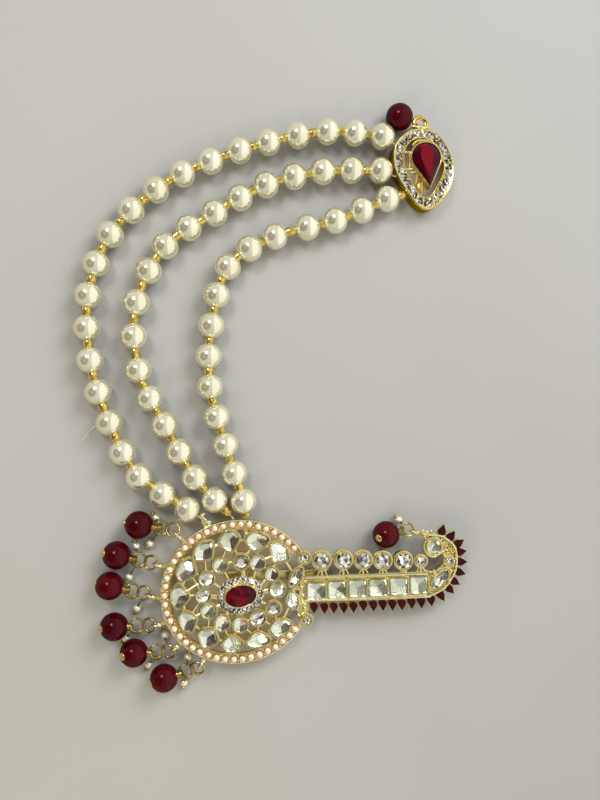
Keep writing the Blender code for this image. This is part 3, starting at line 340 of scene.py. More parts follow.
def metal(name, lit_crest, body, shaded_recess, low, high, rough=(0.16, 0.36), grain=2600.0, bump=0.35, depth=0.05):
    return finish_with(name, CAST_METAL, {
        "Lit Crest": lit_crest, "Body": body, "Shaded Recess": shaded_recess, "Grain Scale": grain, "Low Height": low * MM,
        "High Height": high * MM, "Rough Low": rough[0], "Rough High": rough[1]}, metallic=1.0, bump=bump, depth=depth, tint=body)


def glazed(name, first, second, cloud=180.0, rough=(0.03, 0.1), **more):
    return finish_with(name, GLAZE, {"First": first, "Second": second, "Cloud Scale": cloud, "Rough Low": rough[0],
                                     "Rough High": rough[1]}, **more)


# each metal: painted light on its crests, its body colour, then painted shade for its low parts between the two heights
casting_gold = metal("casting_gold", (1.0, 0.95, 0.64), (0.95, 0.84, 0.41), (0.54, 0.39, 0.10), 4.6, 6.3)
channel_gold = metal("channel_gold", (0.95, 0.66, 0.26), (0.92, 0.60, 0.20), (0.64, 0.36, 0.09), 5.2, 6.3,
                     rough=(0.3, 0.5))
clasp_gold = metal("clasp_gold", (1.0, 0.88, 0.43), (0.88, 0.67, 0.17), (0.56, 0.35, 0.08), 2.0, 5.9, rough=(0.12, 0.3))
wire_brass = metal("wire_brass", (0.70, 0.56, 0.22), (0.40, 0.29, 0.08), (0.11, 0.07, 0.015), 1.2, 5.6,
                   rough=(0.16, 0.36), grain=1800.0)
loop_gold = metal("loop_gold", (0.92, 0.74, 0.30), (0.76, 0.55, 0.16), (0.36, 0.23, 0.05), 0.4, 5.0)
# the pin's low height lies below the floor, so it takes little painted shade and reads lighter where it lies in shade
# under the arm
pin_gold = metal("pin_gold", (0.96, 0.90, 0.58), (0.92, 0.82, 0.44), (0.50, 0.40, 0.16), -2.0, 2.6, rough=(0.2, 0.42))
# foil facets: painted light, painted half shade and painted shade copies of one foil
foil_painted_light = glazed("foil_painted_light", (0.86, 0.91, 0.73), (1.0, 1.0, 0.97), metallic=1.0, rough=(0.13, 0.27), bump=0.2)
foil_painted_half_shade = glazed("foil_painted_half_shade", (0.62, 0.65, 0.47), (0.84, 0.86, 0.73), metallic=1.0, rough=(0.13, 0.27), bump=0.2)
foil_painted_shade = glazed("foil_painted_shade", (0.15, 0.11, 0.10), (0.44, 0.38, 0.34), cloud=420.0, metallic=1.0, rough=(0.13, 0.27),
                   bump=0.2)
clear_glass = glazed("clear_glass", (0.97, 0.98, 0.95), (1.0, 1.0, 0.99), cloud=300.0, rough=(0.0, 0.02),
                     transmission=1.0, ior=1.5, bump=0.35)
# crystal facets: painted light, painted half shade and painted shade copies of one mirror finish
ice_painted_light = glazed("ice_painted_light", (0.90, 0.91, 0.88), (1.0, 1.0, 1.0), metallic=0.9, coat=0.6, rough=(0.02, 0.08))
ice_painted_half_shade = glazed("ice_painted_half_shade", (0.36, 0.35, 0.31), (0.58, 0.54, 0.50), metallic=0.9, coat=0.6, rough=(0.02, 0.08))
ice_painted_shade = glazed("ice_painted_shade", (0.03, 0.03, 0.03), (0.16, 0.14, 0.12), metallic=0.8, coat=0.6, rough=(0.02, 0.08))
# garnet facets: painted shade, painted half shade and painted light copies of one red
wine_painted_shade = glazed("wine_painted_shade", (0.022, 0.0004, 0.003), (0.050, 0.0008, 0.006), coat=0.18, coat_rough=0.02, specular=0.1)
wine_painted_half_shade = glazed("wine_painted_half_shade", (0.080, 0.0006, 0.005), (0.14, 0.0012, 0.008), coat=0.18, coat_rough=0.02, specular=0.1)
wine_painted_light = glazed("wine_painted_light", (0.115, 0.002, 0.008), (0.165, 0.003, 0.010), coat=0.18, coat_rough=0.02, specular=0.1)
tooth_wine = glazed("tooth_wine", (0.022, 0.001, 0.0015), (0.048, 0.0015, 0.003), coat=0.12, coat_rough=0.06,
                    specular=0.1)
bead_glass = glazed("bead_glass", (0.064, 0.0003, 0.003), (0.038, 0.0003, 0.002), cloud=90.0, rough=(0.05, 0.12),
                    coat=0.32, coat_rough=0.02, edge=((0.026, 0.001, 0.004), 0.4, 0.3), bump=0.03, specular=0.0)
pearl_coat = glazed("pearl_coat", (0.82, 0.79, 0.57), (0.89, 0.86, 0.70), cloud=120.0, rough=(0.10, 0.20),
                    metallic=0.72, coat=1.0, coat_rough=0.03, edge=((0.66, 0.63, 0.24), 0.5, 0.36), bump=0.06)
hung_coat = glazed("hung_coat", (0.86, 0.82, 0.62), (0.94, 0.91, 0.76), cloud=400.0, rough=(0.14, 0.22),
                   metallic=0.5, coat=1.0, coat_rough=0.04, edge=((0.58, 0.50, 0.20), 0.5, 0.3), bump=0.04)
seed_coat = glazed("seed_coat", (0.88, 0.76, 0.60), (0.94, 0.86, 0.74), cloud=400.0, rough=(0.14, 0.22),
                   metallic=0.5, coat=1.0, coat_rough=0.04, edge=((0.62, 0.40, 0.17), 0.5, 0.3), bump=0.04)
amber_glass = glazed("amber_glass", (0.36, 0.25, 0.03), (0.84, 0.62, 0.14), cloud=900.0, rough=(0.05, 0.16),
                     metallic=0.75, coat=1.0, bump=0.3)
thread_nylon = glazed("thread_nylon", (0.80, 0.78, 0.68), (0.88, 0.86, 0.78), rough=(0.3, 0.5), bump=0.2)


# small shapes, each in its own bmesh

def at(bearing, reach):
    turn = math.radians(bearing)
    return reach * math.cos(turn), reach * math.sin(turn)


def on_disc(x, y):
    return DISC_X + DISC_R * x, DISC_Y + DISC_R * y


def moved(points, x, y, turn=0.0):
    c, s = at(turn, 1.0)
    return [(x + px * c - py * s, y + px * s + py * c) for px, py in points]


def oval(long_r, short_r, turn, count, x=0.0, y=0.0):
    return moved([(long_r * at(360.0 * k / count, 1.0)[0], short_r * at(360.0 * k / count, 1.0)[1])
                  for k in range(count)], x, y, turn)


def rounded(points, cut=0.25, passes=2, closed=True):
    """Corners cut again and again until the outline runs smooth."""
    for _ in range(passes):
        out = [] if closed else [points[0]]
        for k in range(len(points) if closed else len(points) - 1):
            a, b = Vector(points[k]), Vector(points[(k + 1) % len(points)])
            out += [tuple(a.lerp(b, cut)), tuple(a.lerp(b, 1.0 - cut))]
        points = out if closed else out + [points[-1]]
    return points


def grown(points, by):
    out = []
    for i, p in enumerate(points):
        a, b, c = Vector(points[i - 1]), Vector(p), Vector(points[(i + 1) % len(points)])
        first, second = (b - a).normalized(), (c - b).normalized()
        middle = Vector((first.y + second.y, -first.x - second.x)).normalized()
        stretch = min(1.0 / max(middle.dot(Vector((first.y, -first.x))), 0.3), 1.5)
        out.append(tuple(b + middle * by * stretch))
    return out


def middle_of(points):
    return sum(p[0] for p in points) / len(points), sum(p[1] for p in points) / len(points)


def curve_through(points, closed=False, steps=8):
    """Smooth curve through chosen points."""
    pts = [Vector(p) for p in points]
    if closed:
        ext = [pts[-1]] + pts + pts[:2]
        spans = len(pts)
    else:
        ext = [pts[0] * 2 - pts[1]] + pts + [pts[-1] * 2 - pts[-2]]
        spans = len(pts) - 1
    out = []
    for k in range(spans):
        p0, p1, p2, p3 = ext[k:k + 4]
        for step in range(steps):
            t = step / steps
            out.append(0.5 * ((2 * p1) + (p2 - p0) * t + (2 * p0 - 5 * p1 + 4 * p2 - p3) * t * t
                              + (3 * p1 - p0 - 3 * p2 + p3) * t ** 3))
    return out if closed else out + [pts[-1]]


def even_places(path, count, closed=False, start=0.0, end=0.0):
    """Places and directions at even steps along a path of vectors."""
    line = list(path) + ([path[0]] if closed else [])
    sums = [0.0]
    for a, b in zip(line, line[1:]):
        sums.append(sums[-1] + (b - a).length)
    span = sums[-1] - start - end
    out = []
    k = 0
    for step in range(count):
        want = start + span * step / (count if closed else max(count - 1, 1))
        while k < len(line) - 2 and sums[k + 1] < want:
            k += 1
        share = (want - sums[k]) / max(sums[k + 1] - sums[k], 1e-9)
        out.append((line[k].lerp(line[k + 1], share), (line[k + 1] - line[k]).normalized()))
    return out


def flat_path(points, z):
    return [Vector((p[0], p[1], z)) for p in points]


def frame_at(place, way, upright, size=1.0):
    """Axes with Z along the way and Y near upright."""
    side = way.cross(upright)
    side = side.normalized() if side.length > 1e-6 else way.orthogonal().normalized()
    up = side.cross(way).normalized()
    turn = Matrix((side, up, way)).transposed().to_4x4()
    return Matrix.Translation(place) @ turn @ Matrix.Scale(size, 4)


def sweep(path, section, closed=False, upright=UP, sizes=None):
    """One section drawn along a path. Section points are (out to the right of travel, up)."""
    shape = bmesh.new()
    count = len(path)
    frames = []
    for k, place in enumerate(path):
        if closed:
            way = path[(k + 1) % count] - path[k - 1]
        else:
            way = path[min(k + 1, count - 1)] - path[max(k - 1, 0)]
        frames.append(frame_at(place, way.normalized(), upright, sizes[k] if sizes else 1.0))
    ring = [shape.verts.new(frames[0] @ Vector((a, b, 0.0))) for a, b in section]
    start = [shape.edges.new((ring[i - 1], ring[i])) for i in range(len(ring))]
    loop = start
    for k in range(1, count):
        made = bmesh.ops.extrude_edge_only(shape, edges=loop)["geom"]
        verts = [g for g in made if isinstance(g, bmesh.types.BMVert)]
        fresh = set(verts)
        loop = [g for g in made if isinstance(g, bmesh.types.BMEdge) and g.verts[0] in fresh and g.verts[1] in fresh]
        bmesh.ops.transform(shape, matrix=frames[k] @ frames[k - 1].inverted(), verts=verts)
    if closed:
        bmesh.ops.bridge_loops(shape, edges=start + loop)
    else:
        bmesh.ops.contextual_create(shape, geom=start)
        bmesh.ops.contextual_create(shape, geom=loop)
    bmesh.ops.recalc_face_normals(shape, faces=shape.faces)
    return shape


def round_section(radius, sides, lift=0.0, flat=1.0):
    return [(radius * math.cos(2 * math.pi * (k + 0.5) / sides), lift + radius * flat * math.sin(2 * math.pi * (k + 0.5) / sides))
            for k in range(sides)]


def wire(path, radius, sides=8, closed=False, upright=UP):
    return sweep(path, round_section(radius, sides), closed, upright)


def ring_path(middle, radius, u, v, steps):
    u, v = Vector(u).normalized(), Vector(v).normalized()
    return [Vector(middle) + (u * math.cos(2 * math.pi * k / steps) + v * math.sin(2 * math.pi * k / steps)) * radius
            for k in range(steps)]


def ring(middle, radius, thick, u, v, steps=28, sides=8):
    n = Vector(u).cross(Vector(v)).normalized()
    return wire(ring_path(middle, radius, u, v, steps), thick, sides, closed=True, upright=n)


def ball(radius, around=16, rings=10, flat=1.0):
    shape = bmesh.new()
    bmesh.ops.create_uvsphere(shape, u_segments=around, v_segments=rings, radius=radius)
    if flat != 1.0:
        bmesh.ops.scale(shape, vec=(1.0, 1.0, flat), verts=shape.verts)
    return shape


def slab(points, low, high, soft=0.0, segments=1):
    """Flat piece with the given outline; soft rounds its upper edge."""
    shape = bmesh.new()
    face = shape.faces.new([shape.verts.new((x, y, low)) for x, y in points])
    face.normal_update()
    if face.normal.z > 0:
        face.normal_flip()
    made = bmesh.ops.extrude_face_region(shape, geom=[face], use_keep_orig=True)["geom"]
    verts = [g for g in made if isinstance(g, bmesh.types.BMVert)]
    bmesh.ops.translate(shape, vec=(0.0, 0.0, high - low), verts=verts)
    bmesh.ops.recalc_face_normals(shape, faces=shape.faces)
    if soft:
        top = [e for e in shape.edges if all(abs(v.co.z - high) < 1e-6 for v in e.verts)]
        bmesh.ops.bevel(shape, geom=top, offset=soft, segments=segments, profile=0.5, affect="EDGES", material=-1)
    return shape


def bar(x0, y0, x1, y1, width, low, high, soft=0.1, steps=1):
    a, b = Vector((x0, y0)), Vector((x1, y1))
    shape = bmesh.new()
    bmesh.ops.create_cube(shape, size=1.0)
    bmesh.ops.scale(shape, vec=((b - a).length, width, high - low), verts=shape.verts)
    if soft:
        bmesh.ops.bevel(shape, geom=shape.edges[:], offset=soft, segments=steps, profile=0.5, affect="EDGES",
                        material=-1)
    turn = Matrix.Rotation(math.atan2(b.y - a.y, b.x - a.x), 4, "Z")
    bmesh.ops.transform(shape, verts=shape.verts,
                        matrix=Matrix.Translation(((x0 + x1) / 2, (y0 + y1) / 2, (low + high) / 2)) @ turn)
    return shape


def cut_by(shape, place, way, finish=0):
    """Plane cut that takes off what lies beyond it and closes the cut with a face of the given finish."""
    made = bmesh.ops.bisect_plane(shape, geom=shape.verts[:] + shape.edges[:] + shape.faces[:], dist=1e-5,
                                  plane_co=place, plane_no=way, clear_outer=True)
    edges = [g for g in made["geom_cut"] if isinstance(g, bmesh.types.BMEdge)]
    if len(edges) > 2:
        for face in bmesh.ops.contextual_create(shape, geom=edges)["faces"]:
            face.material_index = finish


def foil_bowl(points, facets, low, deep, slope, tone_slope=0.06):
    """Foil behind a stone: wide facets that fall towards one place, so each side mirrors the light across; each facet
    also takes the painted light or shade tone given for its bearing.
    """
    shape = bmesh.new()
    face = shape.faces.new([shape.verts.new((px, py, 0.0)) for px, py in points])
    face.normal_update()
    if face.normal.z < 0:
        face.normal_flip()
    x, y = middle_of(points)
    rows = sorted(facets)
    for (first, _), (second, _) in zip(rows, rows[1:] + [(rows[0][0] + 360, 0)]):
        u, v = at((first + second) / 2.0, 1.0)
        bmesh.ops.bisect_plane(shape, geom=shape.verts[:] + shape.edges[:] + shape.faces[:], dist=1e-5,
                               plane_co=(x, y, 0.0), plane_no=(-v, u, 0.0))
    rise = math.tan(math.radians(slope))
    for vert in shape.verts:
        away = max((vert.co.x - x) * at(b, 1.0)[0] + (vert.co.y - y) * at(b, 1.0)[1] for b, tone in rows)
        vert.co.z = deep + rise * away
    for face in shape.faces:
        c = face.calc_center_median()
        bearing = math.degrees(math.atan2(c.y - y, c.x - x))
        # each facet takes the painted tone listed for the nearest bearing
        face.material_index = min(rows, key=lambda r: abs((r[0] - bearing + 180) % 360 - 180))[1]
    made = bmesh.ops.extrude_edge_only(shape, edges=[e for e in shape.edges if e.is_boundary])["geom"]
    for vert in made:
        if isinstance(vert, bmesh.types.BMVert):
            vert.co.z = low
    bmesh.ops.contextual_create(shape, geom=[e for e in shape.edges if e.is_boundary])
    bmesh.ops.recalc_face_normals(shape, faces=shape.faces)
    for face in shape.faces:
        face.smooth = False
    return shape


def clear_lid(points, low, girdle, peak, slope=5.0, sides=10, lean=0.8):
    """Clear upper half of a stone: low crown facets round a nearly flat table."""
    shape = slab(points, low, peak + 0.4)
    x, y = middle_of(points)
    for k in range(3):
        u, v = at(120.0 * k + 70.0, 1.0)
        tilt = math.radians(slope)
        cut_by(shape, (x, y, peak), Vector((u * math.sin(tilt), v * math.sin(tilt), math.cos(tilt))))
    for k in range(sides):
        u, v = at(360.0 * k / sides + 11.0, 1.0)
        reach = max((p[0] - x) * u + (p[1] - y) * v for p in points)
        cut_by(shape, (x + u * reach, y + v * reach, girdle), Vector((u, v, lean)).normalized())
    bmesh.ops.recalc_face_normals(shape, faces=shape.faces)
    for face in shape.faces:
        face.smooth = False
    return shape


def kundan(made, points, facets, peak=TABLE_Z - 0.15, slope=15.0, low=STONE_LOW_Z, girdle=6.85, deep=5.95, lean=0.8):
    made.add(foil_bowl(points, facets, low, deep, slope))
    made.add(clear_lid(grown(points, -0.03), girdle - 0.2, girdle, peak, lean=lean), 3)


def brilliant(height, sides, tones):
    """Round foiled crystal: a crown of small facets round a table through which a star of lower facets shows."""
    shape = bmesh.new()
    for count, reach, level in ((sides, 0.58, 0.45), (sides * 2, 1.0, 0.0), (sides * 2, 0.9, -0.8)):
        for k in range(count):
            u, v = at(360.0 * k / count + chance.uniform(-4.0, 4.0), reach)
            wander = chance.uniform(-0.05, 0.05) if level == 0.0 else 0.0
            shape.verts.new((u, v, height * (level + wander)))
    bmesh.ops.convex_hull(shape, input=shape.verts[:])
    bmesh.ops.dissolve_limit(shape, angle_limit=math.radians(1.0), verts=shape.verts[:], edges=shape.edges[:])
    top = [f for f in shape.faces if f.calc_center_median().z > height * 0.42]
    made = bmesh.ops.poke(shape, faces=top, offset=-height * 0.3)
    for vert in made["verts"]:
        vert.co += Vector((chance.uniform(-0.12, 0.12), chance.uniform(-0.12, 0.12), 0.0))
    bmesh.ops.recalc_face_normals(shape, faces=shape.faces)
    for face in shape.faces:
        face.smooth = False
        # each facet takes a random painted light, half shade or shade tone
        face.material_index = chance.choice(tones)
    return shape


class Piece:
    """One finished object, gathered from small shapes."""

    def __init__(self, name, finishes, slot, nodes=()):
        self.name, self.finishes, self.slot, self.nodes = name, finishes, slot, nodes
        self.whole = bmesh.new()

    def add(self, shape, finish=0, where=None, keep=False):
        """Takes a small shape in; finish counts on from the shape's own face finishes."""
        mesh = shape
        if isinstance(shape, bmesh.types.BMesh):
            mesh = bpy.data.meshes.new("small")
            if finish:
                for face in shape.faces:
                    face.material_index += finish
            shape.to_mesh(mesh)
            shape.free()
        if where is not None:
            mesh = mesh.copy() if keep else mesh
            mesh.transform(where)
        self.whole.from_mesh(mesh)
        if where is not None or not keep:
            bpy.data.meshes.remove(mesh)

    def done(self, crease=38.0):
        for edge in self.whole.edges:
            if len(edge.link_faces) == 2 and edge.calc_face_angle(0.0) > math.radians(crease):
                edge.smooth = False
        bmesh.ops.scale(self.whole, vec=(MM, MM, MM), verts=self.whole.verts)
        mesh = bpy.data.meshes.new(self.name)
        self.whole.to_mesh(mesh)
        self.whole.free()
        for finish in self.finishes:
            mesh.materials.append(finish)
        item = bpy.data.objects.new(self.name, mesh)
        bpy.context.scene.collection.objects.link(item)
        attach(item, "root")
        if self.nodes:
            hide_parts(*self.nodes)
        return item


def template(shape):
    """Mesh kept for many copies, with smooth faces where its own say so."""
    mesh = bpy.data.meshes.new("pattern")
    shape.to_mesh(mesh)
    shape.free()
    return mesh


def smooth(shape):
    for face in shape.faces:
        face.smooth = True
    return shape


# strings of pearls

def end_pearl(name, at_disc):
    if at_disc:
        row, x, y, r = DISC_ENDS[name], DISC_X, DISC_Y, DISC_R
    else:
        row, x, y, r = CLASP_ENDS[name], CLASP_X, CLASP_Y, CLASP_R
    u, v = at(row[2], row[4] * PEARL_R)
    return Vector((x + row[0] * r - u, y + row[1] * r - v, PEARL_R + 0.02))


def end_place(middle, row, distance, z):
    u, v = at(row[2], distance)
    return Vector((middle.x + u, middle.y + v, z))


def drilled_pearl():
    """Pearl along Z with a small dimple at each hole."""
    shape = ball(PEARL_R, 32, 20)
    for vert in shape.verts:
        across = math.hypot(vert.co.x, vert.co.y)
        if across < 0.62:
            vert.co.z *= 0.955
    return template(smooth(shape))


def pearl_string(name, pearl):
    first, last = end_pearl(name, False), end_pearl(name, True)
    run = last - first
    side = Vector((run.y, -run.x, 0.0))
    line = curve_through([first] + [first + run * a + side * b for a, b in ROUTES[name]] + [last], steps=24)
    row, end_row = CLASP_ENDS[name], DISC_ENDS[name]
    head = end_place(first, row, row[5] * PEARL_R + 0.9, THREAD_END_Z)
    tail = end_place(last, end_row, end_row[5] * PEARL_R + 0.9, THREAD_END_Z)
    lead, trail = (line[0] - head).length, (tail - line[-1]).length
    path = [head] + line + [tail]
    sums = [0.0]
    for a, b in zip(path, path[1:]):
        sums.append(sums[-1] + (b - a).length)
    total = sums[-1]

    def place(s):
        k = 0
        while k < len(path) - 2 and sums[k + 1] < s:
            k += 1
        return path[k].lerp(path[k + 1], (s - sums[k]) / (sums[k + 1] - sums[k]))

    width = PEARL_R * 2
    gaps = [pitch * width for count, pitch in RUNS[name] for _ in range(count)]
    fit = (total - lead - trail) / sum(gaps)
    middles = [lead]
    for gap in gaps:
        middles.append(middles[-1] + gap * fit)
    pearls = Piece(f"pearls_{name}", [pearl_coat], "pearl", [f"pearl_string_{name}"])
    spacers = Piece(f"spacers_{name}", [amber_glass, loop_gold], "pale_gold")
    thread = Piece(f"thread_{name}", [thread_nylon], "pearl")
    for s in middles:
        way = (place(s + 1.2) - place(s - 1.2)).normalized()
        grow = 1.08 + chance.uniform(-0.015, 0.004)
        spin = Matrix.Rotation(chance.uniform(0, 6.28), 4, "Z")
        squash = Matrix.Diagonal((grow, grow, grow * chance.uniform(0.955, 0.985), 1.0))
        pearls.add(pearl, 0, frame_at(place(s) + UP * 0.3, way, UP) @ spin @ squash, keep=True)
    half = PEARL_R * 0.955
    ends = [(a + half, b - half) for a, b in zip(middles, middles[1:])]
    if row[3]:
        ends.append((middles[0] - half - row[3] * PEARL_R, middles[0] - half))
    if end_row[3]:
        ends.append((middles[-1] + half, middles[-1] + half + end_row[3] * PEARL_R))
    for a, b in ends:
        if b - a < 0.35:
            continue
        way = (place(b) - place(a)).normalized()
        start, stop = place(a) - way * 0.12 + UP * 0.3, place(b) + way * 0.12 + UP * 0.3
        radius = 1.42 + chance.uniform(-0.06, 0.06)
        tube = sweep([start, start.lerp(stop, 0.12), start.lerp(stop, 0.5), start.lerp(stop, 0.88), stop],
                     round_section(radius, 16), sizes=[0.86, 1.0, 1.02, 1.0, 0.86])
        spacers.add(smooth(tube), 0)
        spacers.add(smooth(sweep([start + way * 0.1, stop - way * 0.1], round_section(0.78, 10))), 1)
    knots = [(0.05, 0.5), (0.3, 0.85), (0.6, 1.0), (0.9, 0.85), (1.3, 0.35)]
    stations = [(s, KNOT_R * r) for s, r in knots]
    stations += [(lead * 0.5, THREAD_R * 0.6)]
    stations += [(s, THREAD_R * 0.6) for s in middles]
    stations += [(total - trail * 0.5, THREAD_R * 0.6)]
    stations += [(total - s, KNOT_R * r) for s, r in reversed(knots)]
    thread.add(smooth(sweep([place(s) for s, r in stations], round_section(1.0, 10), sizes=[r for s, r in stations])))
    pearls.done()
    spacers.done()
    if name == "outer":
        loose = [place(middles[16]) + Vector(step) for step in
                 ((-2.4, 0.2, -0.9), (-4.2, -0.9, -2.4), (-6.2, -2.9, -3.4), (-7.9, -5.2, PEARL_R * -1.0 + 0.12))]
        thread.add(smooth(wire(curve_through(loose, steps=5), 0.09, 5)))
    thread.done()


# hung drops

def drop_places(row):
    number, foot_x, foot_y, ear_x, ear_y, lie, stretch, rings = row
    foot, ear = Vector(on_disc(foot_x, foot_y)), Vector(on_disc(ear_x, ear_y))
    away = (ear - foot).normalized()
    fall = math.radians(LINK_FALL if rings > 1 else SINGLE_FALL)
    hung = ear + away * LINK_R * math.cos(fall)
    to_bead = Vector(at(lie, 1.0))
    reach = BEAD_R + BAIL_OUT + LINK_R + (LINK_STEP if rings > 1 else 0.0)
    bead = hung + to_bead * reach * stretch
    ring_one = Vector((hung.x, hung.y, EAR_Z - LINK_R * math.sin(fall)))
    slope_one = Vector((away.x * math.cos(fall), away.y * math.cos(fall), -math.sin(fall)))
    bail = bead - to_bead * (BEAD_R + BAIL_OUT)
    ring_two = Vector((bail.x - to_bead.x * LINK_R, bail.y - to_bead.y * LINK_R, BEAD_R - 0.25))
    slope_two = Vector((to_bead.x, to_bead.y, 0.12)).normalized()
    return foot, ear, away, ring_one, slope_one, ring_two, slope_two, bead, to_bead, bail


def drop(row):
    foot, ear, away, ring_one, slope_one, ring_two, slope_two, bead, to_bead, bail = drop_places(row)
    links = Piece("jump_rings_" + row[0], [wire_brass], "dark_brass", ["drop_links_" + row[0]])
    links.add(smooth(ring(ring_one, LINK_R, LINK_WIRE * 1.15, slope_one, (-away.y, away.x, 0.0), 40, 10)))
    if row[7] > 1:
        side = Vector((-to_bead.y, to_bead.x, 0.0))
        links.add(smooth(ring(ring_two, LINK_R, LINK_WIRE * 1.15, slope_two, side, 40, 10)))
        links.add(smooth(ring(ring_two + side * 0.3 - UP * 0.5, LINK_R + 0.12, LINK_WIRE * 0.9, slope_two,
                              side + UP * 0.12, 40, 10)))
    links.done(60.0)
    drop_bead("bead_" + row[0], "garnet_bead_" + row[0], bead, to_bead, bail, *BEAD_LIES[row[0]])


def drop_bead(name, node, middle, way, bail, lift=20.0, turns=4):
    made = Piece(name, [bead_glass, loop_gold, wire_brass], "garnet", [node])
    along = Vector((way.x, way.y, 0.0))
    centre = Vector((middle.x, middle.y, BEAD_R))
    shape = ball(BEAD_R, 40, 24)
    for vert in shape.verts:
        if math.hypot(vert.co.x, vert.co.y) < 0.6:
            vert.co.z *= 0.965
    made.add(smooth(shape), 0, frame_at(centre, along, UP))
    head = (along * math.cos(math.radians(lift)) + UP * math.sin(math.radians(lift))).normalized()
    made.add(smooth(ball(1.1, 18, 10, 0.4)), 1, frame_at(centre + head * (BEAD_R - 0.08), head, UP))
    made.add(smooth(ring(centre + head * (BEAD_R - 0.12), 1.0, 0.16, head.orthogonal(), head.cross(head.orthogonal()),
                         24, 6)), 2)
    if bail is not None:
        eye = Vector((bail.x, bail.y, BEAD_R))
        made.add(smooth(ring(eye, BAIL_R, BAIL_WIRE, along, UP, 24, 8)), 2)
        side = Vector((-along.y, along.x, 0.0))
        path = []
        for k in range(turns * 12 + 1):
            turn = 2 * math.pi * k / 12
            spread = 0.95 + 0.22 * math.sin(k * 0.57)
            path.append(centre - along * (BEAD_R - 0.30 + 0.42 * k / 12) + (side * math.cos(turn) + UP * math.sin(turn)) * spread)
        made.add(smooth(wire(path, 0.21, 7, upright=along)), 2)
        tail = [path[-1], path[-1] + side * 0.5 - along * 0.3 + UP * 0.2, path[-1] + side * 1.1 - along * 0.1]
        made.add(smooth(wire(tail, 0.17, 6)), 2)
    made.done(50.0)


def hung_seeds():
    made = Piece("hung_seed_pearls", [hung_coat, loop_gold, wire_brass], "pearl")
    rows = {row[0]: row for row in DROPS}
    for x, y, number in SEED_DROPS:
        parts = drop_places(rows[number])
        px, py = on_disc(x, y)
        place = Vector((px, py, 1.5))
        near = min((parts[3], parts[5]), key=lambda r: (Vector((r.x, r.y, 0)) - Vector((px, py, 0))).length)
        gap = Vector((near.x - px, near.y - py, 0.0))
        target = Vector((near.x, near.y, near.z)) - gap.normalized() * LINK_R
        way = (target - place).normalized()
        made.add(smooth(ball(1.22, 20, 12)), 0, Matrix.Translation(place))
        tail = place - Vector((way.x, way.y, 0.0)).normalized() * 1.6
        made.add(smooth(ball(0.58, 12, 8)), 1, Matrix.Translation(tail))
        made.add(smooth(ball(0.42, 10, 8)), 2, Matrix.Translation(place + way * 1.35))
        reach = (target - place).length
        if reach > 2.0:
            made.add(smooth(wire([place + way * 1.2, place + way * max(reach - 1.0, 1.3)], 0.16, 7)), 2)
        eye = place + way * max(reach - 0.25, 2.05)
        made.add(smooth(ring(eye, 0.62, 0.16, way, UP, 18, 6)), 2)
    made.done(50.0)


# the casting: disc, rim, bezels

def bezel_section(wall=0.45, low=BACK_Z, top=CUP_TOP_Z, ledge=0.5):
    """Thin rolled lip against the stone, a groove, and a lower line outside; sideways distance runs outward."""
    foot, lip, line = wall + ledge, wall * 0.55, top - 0.5
    return [(0.02, low), (foot, low), (foot + 0.02, line - 0.2), (foot - 0.05, line), (foot - 0.20, line + 0.02),
            (foot - 0.28, line - 0.16), (foot - 0.30, line - 0.7), (lip + 0.02, line - 0.7), (lip, line - 0.1),
            (lip, top - 0.14), (lip - 0.06, top), (0.08, top - 0.02), (0.02, top - 0.12)]


def bezel(points, wall=0.45, low=BACK_Z, top=CUP_TOP_Z, ledge=0.5):
    """Setting round a stone outline that runs counter-clockwise."""
    return sweep(flat_path(points, 0.0), bezel_section(wall, low, top, ledge), closed=True)


def petal_outline(row):
    bearing, reach, lean, length, inner, middle, outer, skew = row[:8]
    x, y = at(bearing, reach * DISC_R)
    half = length / 2
    side = 0.11 * length
    corners = [(-half, -inner / 2), (side - 0.014, (skew - middle) / 2), (side + 0.014, (skew - middle) / 2),
               (half, skew - outer / 2), (half, skew + outer / 2), (side + 0.014, (skew + middle) / 2),
               (side - 0.014, (skew + middle) / 2), (-half, inner / 2)]
    placed = moved([(u * DISC_R, v * DISC_R) for u, v in corners], DISC_X + x, DISC_Y + y, bearing + lean)
    return grown(rounded(placed, 0.18, 2), 0.22)


def leaf_outline(length, width, x, y, turn):
    places = [(0.5, 0.0), (0.27, 0.36), (0.0, 0.5), (-0.27, 0.36), (-0.5, 0.0), (-0.27, -0.36), (0.0, -0.5),
              (0.27, -0.36)]
    return rounded(moved([(a * length, b * width) for a, b in places], x, y, turn), 0.2, 1)


def square_outline(width, height, x, y):
    w, h = width / 2, height / 2
    return rounded([(x + w, y - h), (x + w, y + h), (x - w, y + h), (x - w, y - h)], 0.09, 2)


def rim_place(bearing, out=0.0):
    u, v = at(bearing - RIM_TURN, 1.0)
    c, s = at(RIM_TURN, 1.0)
    middle = Vector((RIM_LONG * u * c - RIM_SHORT * v * s, RIM_LONG * u * s + RIM_SHORT * v * c))
    way = Vector((RIM_SHORT * u * c - RIM_LONG * v * s, RIM_SHORT * u * s + RIM_LONG * v * c)).normalized()
    return Vector((DISC_X + middle.x + way.x * out, DISC_Y + middle.y + way.y * out, 0.0))


